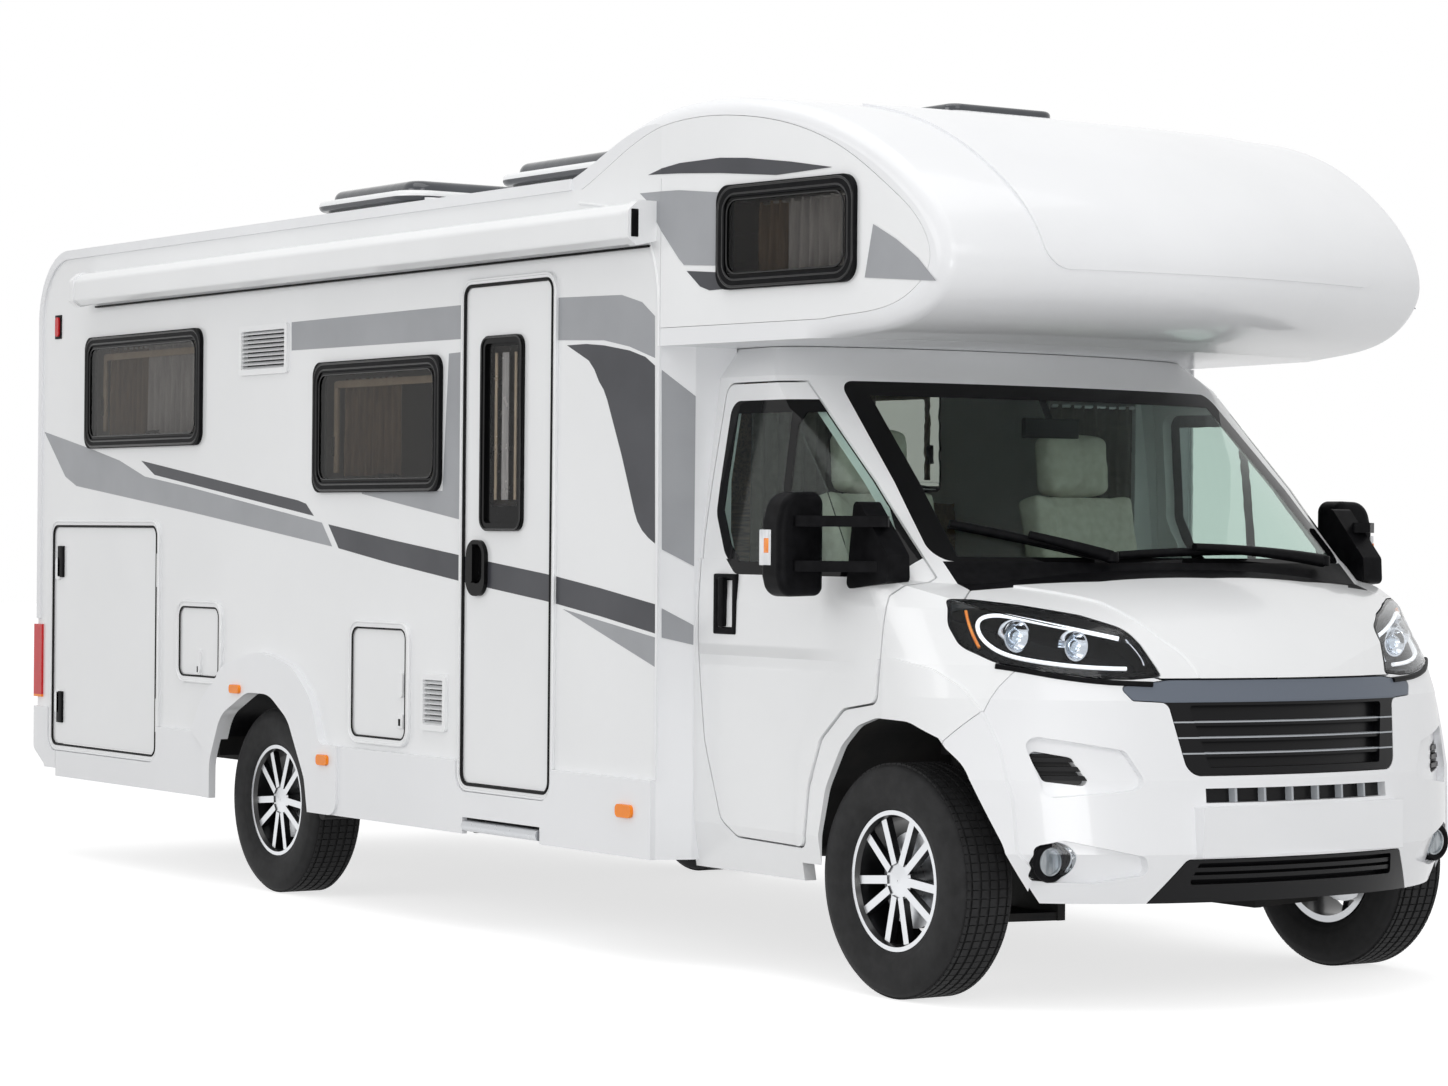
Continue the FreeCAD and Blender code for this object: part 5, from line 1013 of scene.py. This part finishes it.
CURTAINS = [
    ("rear_window_brown", -2.800, -2.430, 1.835, 2.205, CURTAIN_Y, curtain_brown),
    ("rear_window_grey", -2.425, -1.870, 1.835, 2.205, CURTAIN_Y, curtain_grey),
    ("bench_window_brown", -0.690, -0.260, 1.640, 2.010, CURTAIN_Y, curtain_brown),
    ("alcove_window_brown", 1.965, 2.130, 2.270, 2.505, NOSE_CURTAIN_Y, curtain_brown),
    ("alcove_window_grey", 2.135, 2.500, 2.270, 2.505, NOSE_CURTAIN_Y, curtain_grey),
]
for name, x0, x1, z0, z1, y, cloth in CURTAINS:
    for side, hand in SIDES:
        width = curtain("curtain_%s_%s" % (name, hand), x0, x1, z0, z1, side * y, cloth)[2]
    print(name, "cut width:", round(width, 3))

# %% [markdown]
# Two more curtains close the cab off from the living room. They hang across the vehicle behind the seats, so each
# is made like the others along X and then turned by a right angle, together with its rail.

# %% Curtains behind the cab seats
CAB_CURTAIN_X = 1.672
CAB_CURTAIN_Y = 0.640
CAB_CURTAIN_HALF = 0.19
for side, hand in SIDES:
    cloth_piece, hanger, width = curtain("cab_curtain_" + hand, -CAB_CURTAIN_HALF, CAB_CURTAIN_HALF, 1.020, 1.900,
                                         0.0, cab_curtain)
    for piece in (cloth_piece, hanger):
        placed(piece, (CAB_CURTAIN_X, side * CAB_CURTAIN_Y, 0), (0, 0, math.pi / 2))
print("cab curtain cut width:", round(width, 3))

# %% [markdown]
# Each hinged pane is held shut by small black catches along its lower edge and sides, and cream cassettes for the
# blinds line the opening behind it. They are slim bars and levers with rounded edges, set just behind the pane.

# %% Catches and blind cassettes
CASSETTE = ((-1.118, -1.106), 0.003, cream)
CATCH = ((-1.124, -1.100), 0.004, black_plastic)
for name in ("rear_window", "bench_window"):
    x0, x1, z0, z1 = WINDOW_RECTS[name]
    middle = (x0 + x1) / 2
    fittings = {
        "cassette_0": (CASSETTE, x0 + 0.075, x0 + 0.103, z0 + 0.075, z1 - 0.075),
        "cassette_1": (CASSETTE, x1 - 0.105, x1 - 0.077, z0 + 0.075, z1 - 0.075),
        "cassette_top": (CASSETTE, x0 + 0.09, x1 - 0.09, z1 - 0.098, z1 - 0.070),
        "catch_0": (CATCH, x0 + 0.062, x0 + 0.082, z0 + 0.14, z0 + 0.215),
        "catch_1": (CATCH, x1 - 0.082, x1 - 0.062, z0 + 0.14, z0 + 0.215),
        "catch_low": (CATCH, middle - 0.05, middle + 0.05, z0 + 0.052, z0 + 0.070),
    }
    for side, hand in SIDES:
        for part, (kind, left, right, bottom, top) in fittings.items():
            (outer, inner), round_by, material = kind
            rounded_bar("%s_%s_%s" % (name, hand, part), (left, outer, bottom), (right, inner, top), round_by,
                        "body", material, side)
print("window fittings ready")

# %% [markdown]
# A modern headlamp is a dark box with bright bowls behind a clear cover. The bowls look straight ahead while the
# cover sweeps back round the corner, so each is set as far behind the cover as its outer edge needs. A ray cast on
# the cover finds its surface, and the light band follows that surface a little way inside.

# %% Headlamp insides
AHEAD_X = 4.0
BACKWARDS = Vector((-1, 0, 0))
LAMPS = {"bowl_outer_": (-0.800, 1.128, 0.050), "bowl_inner_": (-0.665, 1.100, 0.046)}
BOWL_CLEAR = 0.010
BOWL_DEPTH = 0.03
BOWL_RIM_SHARE = 0.12
BOWL_STEPS = ((0.008, 0.88), (0.009, 0.80), (0.006, 0.66))
LENS_FLATNESS = 0.45
LED_LINE = [(-0.545, 1.135), (-0.640, 1.158), (-0.760, 1.188), (-0.850, 1.202), (-0.898, 1.185),
            (-0.908, 1.130), (-0.878, 1.082), (-0.800, 1.060), (-0.660, 1.043), (-0.560, 1.040)]
AMBER_LINE = [(-0.912, 1.208), (-0.922, 1.150), (-0.917, 1.098)]
INNER_LINE = [(-0.505, 1.048), (-0.500, 1.075), (-0.530, 1.128)]


def foremost(names, y, z):
    """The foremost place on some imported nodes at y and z, with its normal, or None where all are missed."""
    casts = [nodes[name].ray_cast(Vector((AHEAD_X, y, z)), BACKWARDS) for name in names]
    found = [(place, normal) for hit, place, normal, face in casts if hit]
    return max(found, key=lambda pair: pair[0].x) if found else None


def looks_ahead(middle, normal):
    return normal.x > 0.9


def cover_point(y, z, depth):
    """The place that lies a depth behind the right headlamp's cover, at y and z."""
    place, normal = foremost(["front_lamps"], y, z)
    return place - normal * depth


def bowl(name, y, z, radius):
    """A chromed bowl with a flat rim, facing forward, and a domed projector lens in its middle."""
    around = ((y - radius, z), (y, z + radius), (y, z - radius))
    front_x = min(cover_point(*place, 0).x for place in around) - BOWL_CLEAR
    piece = added(name, bpy.ops.mesh.primitive_cylinder_add, (front_x - BOWL_DEPTH / 2, y, z), vertices=48,
                  radius=radius, depth=BOWL_DEPTH, rotation=ALONG_X)
    pick_faces(piece, looks_ahead)
    bpy.ops.mesh.inset(thickness=radius * BOWL_RIM_SHARE)
    for depth, shrink in BOWL_STEPS:
        bpy.ops.mesh.extrude_region_move(TRANSFORM_OT_translate={"value": (-depth, 0, 0)})
        bpy.ops.transform.resize(value=(1, shrink, shrink), center_override=(front_x, y, z))
    leave_edit()
    lens = added(name + "_lens", bpy.ops.mesh.primitive_uv_sphere_add, (front_x - 0.018, y, z),
                 (LENS_FLATNESS, 1, 1), segments=32, ring_count=16, radius=radius / 2)
    return [settle(piece, "body", chrome, 50), settle(lens, "body", bulb_glass, 60)]


def band_in_lamp(name, points, radius, material, depth):
    """A round bar that follows the cover's inner surface through points of y and z."""
    return rod(name, [cover_point(y, z, depth) for y, z in points], radius, material, steps=6)


for side, hand in SIDES:
    pieces = []
    for name, (y, z, radius) in LAMPS.items():
        pieces += bowl(name + hand, y, z, radius)
    pieces.append(band_in_lamp("daylight_band_" + hand, LED_LINE, 0.0065, led_white, 0.018))
    pieces.append(band_in_lamp("amber_strip_" + hand, AMBER_LINE, 0.005, amber_strip, 0.014))
    pieces.append(band_in_lamp("inner_strip_" + hand, INNER_LINE, 0.003, chrome, 0.012))
    if side > 0:
        for piece in pieces:
            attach(mirrored(piece), "body")
print("headlamp insides:", len(pieces), "pieces a side")

# %% [markdown]
# The fog lamps sit low in the bumper, each as a black ring with a dished glass in it. A ray cast on the packed
# lamp says how far ahead they stand.

# %% Fog lamps
FOG_PLACE = (-0.800, 0.456)
FOG_RING = 0.052
FOG_RING_HALF = 0.011
FOG_DISH = 0.043
for side, hand in SIDES:
    skin = cover_point(*FOG_PLACE, 0.0)
    ring = added("fog_ring_" + hand, bpy.ops.mesh.primitive_torus_add, skin + Vector((-0.002, 0, 0)),
                 major_segments=48, minor_segments=12, major_radius=FOG_RING, minor_radius=FOG_RING_HALF,
                 rotation=ALONG_X)
    settle(ring, "body", black_plastic, 60)
    dish = added("fog_dish_" + hand, bpy.ops.mesh.primitive_cylinder_add, skin + Vector((-0.003, 0, 0)),
                 vertices=40, radius=FOG_DISH, depth=0.010, rotation=ALONG_X)
    pick_faces(dish, looks_ahead)
    bpy.ops.mesh.inset(thickness=0.006)
    bpy.ops.mesh.extrude_region_move(TRANSFORM_OT_translate={"value": (-0.006, 0, 0)})
    bpy.ops.mesh.inset(thickness=0.020)
    leave_edit()
    settle(dish, "body", fog_glass, 50)
    if side > 0:
        for piece in (ring, dish):
            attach(mirrored(piece), "body")
print("fog lamps ready")

# %% [markdown]
# Handles are what a hand meets, so they get real depth: a black bezel with a finger recess and an upright grip in
# front of it. Each cab door has one, and it rides on its door.

# %% Cab door handles
CAB_DOORS = {"right": "passenger_door", "left": "driver_door"}
HANDLE_PLACE = (1.820, -1.030, 1.202)
HANDLE_SIZE = (0.128, 0.024, 0.198)
RECESS = (0.002, 0.014, 0.010)
GRIP = ((1.800, -1.054, 1.128), (1.828, -1.032, 1.290))


def door_handle(name, body, side):
    """A tall bezel laid on the door's skin, hollowed behind an upright grip."""
    bezel = added(name, bpy.ops.mesh.primitive_cube_add, HANDLE_PLACE, HANDLE_SIZE, size=1)
    pick_faces(bezel, lambda middle, normal: normal.y < -0.9)
    bpy.ops.mesh.inset(thickness=0.014)
    bpy.ops.mesh.inset(thickness=0.006)
    bpy.ops.mesh.extrude_region_move(TRANSFORM_OT_translate={"value": RECESS})
    leave_edit()
    modify(bezel, "BEVEL", width=0.012, segments=4, limit_method="ANGLE")
    grip = rounded_bar(name + "_grip", *GRIP, 0.008, body, black_plastic)
    piece = joined([bezel, grip], name)
    if side > 0:
        mirrored(piece)
    return settle(piece, body, black_plastic, 40)


for side, hand in SIDES:
    door_handle("handle_" + hand, CAB_DOORS[hand], side)
print("door handles ready")

# %% [markdown]
# The mirrors carry an indicator at their outer edge, with a clear lens and an amber part in it. The left one sits
# nearer the front corner of its mirror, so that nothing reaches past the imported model's box.

# %% Indicators on the mirrors
CLEAR_EDGE = {"right": (-1.2635, 2.402), "left": (-1.2616, 2.4545)}
AMBER_EDGE = {"right": (-1.2645, 2.392), "left": (-1.2618, 2.4560)}
for side, hand in SIDES:
    outer, front = CLEAR_EDGE[hand]
    rounded_bar("mirror_indicator_" + hand, (front - 0.064, outer, 1.334), (front, -1.246, 1.446), 0.006,
                CAB_DOORS[hand], clear_marker, side)
    outer, front = AMBER_EDGE[hand]
    rounded_bar("mirror_amber_" + hand, (front - 0.028, outer, 1.372), (front, -1.250, 1.420), 0.003,
                CAB_DOORS[hand], amber_strip, side)
print("indicators ready")

# %% [markdown]
# Small things finish the walls: the dark insert in the awning's end cap, a thin black bar below its case that is a
# painted shadow line, and the rounded bead where the side panel's front corner turns down beside the nose.

# %% Awning insert, painted shadow line and corner bead
CORNER = [(1.100, 2.556), (1.230, 2.545), (1.404, 2.500), (1.479, 2.458), (1.545, 2.392), (1.582, 2.310),
          (1.600, 2.200), (1.600, 2.050)]
rounded_bar("awning_insert", (1.570, -1.2610, 2.408), (1.5835, -1.2330, 2.500), 0.004, "body", black_plastic)
# A thin black bar under the awning case, laid where its shadow falls: a painted shadow line.
rounded_bar("awning_shadow_gap", (-2.800, -1.176, 2.3795), (1.550, -1.158, 2.3865), 0.002, "body", painted_shadow_line_black)
bead = round_line("corner_bead_right", [(x, -WALL_Y, z) for x, z in CORNER], 0.006)
other = copy_of(bead, "corner_bead_left")
settle(bead, "body", paint, 60)
settle(mirrored(other), "body", paint, 60)
print("trims ready")

# %% [markdown]
# Round every door and hatch runs a rubber seal, which draws a dark line that the eye reads as the door's edge.
# Each is a round bead along a rounded rectangle, laid on the frame just outside the leaf. A second bead in the
# body's white follows it farther out, as the frame's raised lip.

# %% Rubber seals round the leaves
SEALS = [("entry_door", -1, 0.012), ("garage_door_right", -1, 0.010), ("garage_door_left", 1, 0.010),
         ("cassette_hatch", -1, 0.007), ("gas_hatch", -1, 0.007)]
LEAF_CORNER = 0.034
FRAME_FACE_Y = 1.171
LIP_GAP = 0.027
LIP_WIDTH = 0.011
CORNER_STEPS = 6


def loop(name, side, rect, corner, width, material, y, turn=False):
    """A round bead along a rounded rectangle on a side wall, turned on to the nose panel if asked."""
    x0, x1, z0, z1 = grown(rect, -corner)
    points = []
    for x, z, start in ((x1, z1, 0), (x0, z1, 90), (x0, z0, 180), (x1, z0, 270)):
        for step in range(CORNER_STEPS + 1):
            angle = math.radians(start + step * 90 / CORNER_STEPS)
            points.append((x + corner * math.cos(angle), -y, z + corner * math.sin(angle)))
    piece = curve_piece(name, points, closed=True, dimensions="3D", bevel_depth=width / 2, bevel_resolution=2)
    if turn:
        onto_nose(piece)
    if side > 0:
        mirrored(piece)
    return settle(piece, "body", material, 60)


for node, side, width in SEALS:
    low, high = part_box(node)
    leaf = (low.x, high.x, low.z, high.z)
    gap = width / 2 + 0.001
    loop(node + "_seal", side, grown(leaf, gap), LEAF_CORNER + gap, width, seal_black, FRAME_FACE_Y - 0.001)
    loop(node + "_lip", side, grown(leaf, LIP_GAP), LEAF_CORNER + LIP_GAP, LIP_WIDTH, paint, FRAME_FACE_Y)
print("seals:", len(SEALS))

# %% [markdown]
# The window frames are stepped: three beads, each thinner than the one outside it, run round every pane and catch
# the light as fine lines. The entry door's pane has one. Behind it stand two cassettes and a folded blind, which
# swing with the door.

# %% Raised lips on the window frames
LIPS = [(-0.008, 0.072, 0.011), (-0.030, 0.058, 0.009), (-0.050, 0.045, 0.006)]
LIP_Y = 1.1745
DOOR_PANE = (0.470, 0.755, 1.435, 2.126)
DOOR_LIP_Y = 1.1790
BLINDS = [(0.540, 0.556, cream), (0.674, 0.690, cream), (0.590, 0.635, curtain_grey)]
for name, rect in WINDOW_RECTS.items():
    for side, hand in SIDES:
        for index, (inset, corner, width) in enumerate(LIPS):
            loop("%s_lip_%s_%d" % (name, hand, index), side, grown(rect, inset), corner, width, lip_black, LIP_Y,
                 turn=name == "alcove_window")
bead = loop("door_window_lip_0", -1, grown(DOOR_PANE, -0.006), 0.040, 0.008, lip_black, DOOR_LIP_Y)
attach(bead, "living_door")
for index, (x0, x1, material) in enumerate(BLINDS):
    rounded_bar("door_blind_%d" % index, (x0, -1.1560, 1.545), (x1, -1.1500, 2.065), 0.002, "living_door",
                material)
print("window lips ready")

# %% [markdown]
# A garage door is held by two black handles at its free edge and hangs on two white hinges at the other. The
# hatches have a square latch with a black key cover. Dark plates behind the vents hide the wall's inside.

# %% Garage handles, hinges and hatch latches
LEAF_Y = 1.168
LATCHES = (("cassette", -1.780, 0.868), ("gas", -0.105, 0.730))
VENT_BACKS = [("fridge", -1.430, -1.036, 2.054, 2.232), ("heater", 0.054, 0.222, 0.716, 0.906)]
for side, hand in SIDES:
    body = "garage_lid_" + hand
    for index, z in enumerate((1.288, 0.654)):
        rounded_bar("garage_handle_%s_%d" % (hand, index), (-3.166, -LEAF_Y - 0.007, z - 0.068),
                    (-3.110, -LEAF_Y + 0.008, z + 0.068), 0.0065, body, black_plastic, side)
    for index, z in enumerate((1.262, 0.660)):
        rounded_bar("garage_hinge_%s_%d" % (hand, index), (-2.192, -LEAF_Y - 0.005, z - 0.070),
                    (-2.164, -LEAF_Y + 0.006, z + 0.070), 0.004, body, paint, side)
for name, x, z in LATCHES:
    rounded_bar(name + "_latch", (x - 0.020, -1.173, z - 0.026), (x + 0.020, -1.160, z + 0.026), 0.004,
                name + "_lid", paint)
    rounded_bar(name + "_latch_key", (x - 0.007, -1.175, z - 0.016), (x + 0.007, -1.168, z + 0.010), 0.003,
                name + "_lid", black_plastic)
for name, x0, x1, z0, z1 in VENT_BACKS:
    rounded_bar(name + "_vent_back", (x0, -1.140, z0), (x1, -1.134, z1), 0.002, "body", seal_black)
rounded_bar("marker_housing", (-3.236, -1.1650, 2.262), (-3.170, -1.158, 2.366), 0.003, "body", black_plastic)
print("latches ready")

# %% [markdown]
# Wipers are three parts: a hub on the cowl, an arm that bends over the glass, and a long blade on a hinge at the
# arm's end. Arm and blade follow points that a ray cast finds on the glass, lifted off it by their thickness.

# %% Wipers
BLADE_LIFT = 0.014
ARM_LIFT = 0.034
BLADE_RADIUS = 0.013
RUBBER_RADIUS = 0.005
ARM_RADIUS = 0.022
ARM_TAPER = 0.6
HUB_RADIUS = 0.024


def on_screen(y, z, lift):
    """The place on the windscreen or the cowl at y and z, lifted forward off it."""
    place, normal = foremost(("windscreen", "cowl_and_wipers", "bonnet"), y, z)
    return place + Vector((lift, 0, lift * 0.5))


def wiper(tag, tip, hinge, heel, bend, hub):
    blade = [on_screen(*place, BLADE_LIFT) for place in (tip, hinge, heel)]
    rod("wiper_blade_" + tag, blade, BLADE_RADIUS, black_plastic)
    edge = [place - Vector((0.010, 0, 0.012)) for place in blade]
    rod("wiper_rubber_" + tag, edge, RUBBER_RADIUS, seal_black)
    arm = [on_screen(*hub, ARM_LIFT), on_screen(*bend, ARM_LIFT + 0.002), on_screen(*hinge, ARM_LIFT)]
    rod("wiper_arm_" + tag, arm, ARM_RADIUS, black_plastic, ARM_TAPER)
    cap = added("wiper_hub_" + tag, bpy.ops.mesh.primitive_cylinder_add, arm[0], vertices=32,
                radius=HUB_RADIUS, depth=ARM_LIFT)
    modify(cap, "BEVEL", width=0.006, segments=3, limit_method="ANGLE")
    settle(cap, "body", black_plastic)


wiper("right", (-0.760, 1.463), (-0.538, 1.420), (-0.318, 1.366), (-0.400, 1.385), (-0.290, 1.352))
wiper("left", (-0.237, 1.368), (0.074, 1.386), (0.351, 1.386), (0.400, 1.376), (0.655, 1.344))
print("wipers ready")

# %% [markdown]
# The cab seats are foam under a tight cover, so each cushion starts a little small, and the cloth tool swells it
# with pressure against its own stretch, as stuffing does. The points may move only so far. Bolsters are pushed up
# before, and the sewn channels are pressed in after, because fine seams would be lost in the remesh.

# %% Cab seats
SEAT_Y = 0.440
SEAT_CAP = 0.014
SEAT_VOXEL = 0.008
STUFFING_FRAMES = 20
PRESSURE = 4.0
SEAM_DEPTH = 0.0045
SEAM_WIDTH = 0.006
BOLSTER_FROM = 0.55
HALF_BASE = 0.205
PADS = [("seat_cushion", (2.055, 0, 0.955), (0.41, 0.46, 0.085), math.radians(-3), 0.022, 0.145, 20),
        ("seat_back", (1.870, 0, 1.285), (0.110, 0.46, 0.60), math.radians(-12.1), 0.026, 0.140, 30),
        ("seat_headrest", (1.800, 0, 1.680), (0.115, 0.280, 0.215), math.radians(-6), 0.0, 0.30, 70)]


def swollen(piece, rounding):
    """Remeshes a pad, smooths it and lets it swell under pressure, with each point's travel capped."""
    modify(piece, "REMESH", mode="VOXEL", voxel_size=SEAT_VOXEL)
    modify(piece, "SMOOTH", factor=0.8, iterations=rounding)
    before = [vertex.co.copy() for vertex in piece.data.vertices]
    cloth = piece.modifiers.new("stuffing", "CLOTH")
    cloth.settings.use_pressure = True
    cloth.settings.uniform_pressure_force = PRESSURE
    cloth.settings.effector_weights.gravity = 0.0
    cloth.collision_settings.use_collision = False
    for number in range(1, STUFFING_FRAMES + 1):
        bpy.context.scene.frame_set(number)
    only(piece)
    bpy.ops.object.modifier_apply(modifier=cloth.name)
    bpy.context.scene.frame_set(1)
    for vertex, old in zip(piece.data.vertices, before):
        travel = vertex.co - old
        if travel.length > SEAT_CAP:
            vertex.co = old + travel.normalized() * SEAT_CAP
    return piece


def pad(name, centre, size, lean, bolster):
    """A rounded pad, with side bolsters along its length, turned back by lean."""
    piece = added(name, bpy.ops.mesh.primitive_cube_add, scale=size, size=1)
    edit_all(piece)
    bpy.ops.mesh.subdivide(number_cuts=5)
    leave_edit()
    modify(piece, "BEVEL", width=0.032, segments=4, limit_method="ANGLE")
    outwards = 0 if size[0] < size[2] else 2
    for vertex in piece.data.vertices:
        across = abs(vertex.co.y) / (size[1] / 2)
        if vertex.co[outwards] > 0:
            vertex.co[outwards] += bolster * max(0.0, across - BOLSTER_FROM) / (1 - BOLSTER_FROM)
    return placed(piece, centre, (0, lean, 0))


def sewn(piece, centre, half_width):
    """Presses two lengthwise seams into the cover."""
    for vertex in piece.data.vertices:
        nearest = min(abs(abs(vertex.co.y - centre[1]) - half_width), 0.02)
        vertex.co -= vertex.normal * SEAM_DEPTH * math.exp(-(nearest / SEAM_WIDTH) ** 2)
    return piece


seat_pieces = []
for name, centre, size, lean, bolster, seam, rounding in PADS:
    model = sewn(swollen(pad(name, centre, size, lean, bolster), rounding), centre, seam)
    for side, hand in SIDES:
        copy = copy_of(model, "%s_%s" % (name, hand))
        copy.location = (0, side * SEAT_Y, 0)
        settle(copy, "body", upholstery, 60)
        seat_pieces.append(copy)
    bpy.data.objects.remove(model)
    print(name, "faces:", len(seat_pieces[-1].data.polygons))
for side, hand in SIDES:
    seat_pieces.append(rounded_bar("seat_base_" + hand, (1.862, -SEAT_Y - HALF_BASE, 0.66),
                                   (2.215, -SEAT_Y + HALF_BASE, 0.895), 0.02, "body", black_plastic, side))
    for index, offset in enumerate((-0.05, 0.05)):
        y = side * SEAT_Y + offset
        seat_pieces.append(rod("headrest_post_%s_%d" % (hand, index), [(1.815, y, 1.54), (1.808, y, 1.66)],
                               0.006, chrome))
for piece in seat_pieces:
    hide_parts("cab_seats")
print("seats:", len(seat_pieces), "pieces")

# %% [markdown]
# A black trim runs along the gap below each headlamp, following whatever panel lies foremost there. Inside, a
# mirror hangs from the top of the windscreen on a short stem.

# %% Black trim below the headlamps and interior mirror
NOSE_SKIN = ("cab_wings", "cab_shell", "front_bumper", "front_lamps", "lamp_housings", "grilles")
TRIM_LINE = [(-0.900, 1.040), (-0.807, 1.018), (-0.720, 1.003), (-0.640, 0.994), (-0.560, 0.990),
             (-0.500, 0.988)]
found = [foremost(NOSE_SKIN, y, z) for y, z in TRIM_LINE]
trim = [pair[0] for pair in found if pair]
for side, hand in SIDES:
    rod("lamp_trim_" + hand, [(place.x, -side * place.y, place.z) for place in trim], 0.009, black_plastic)
rounded_bar("interior_mirror", (2.205, -0.115, 1.760), (2.232, 0.115, 1.826), 0.012, "body", black_plastic)
rod("interior_mirror_stem", [(2.216, 0, 1.822), (2.190, 0, 1.862), (2.170, 0, 1.900)], 0.012, black_plastic)
print("lamp trims through", len(trim), "points")
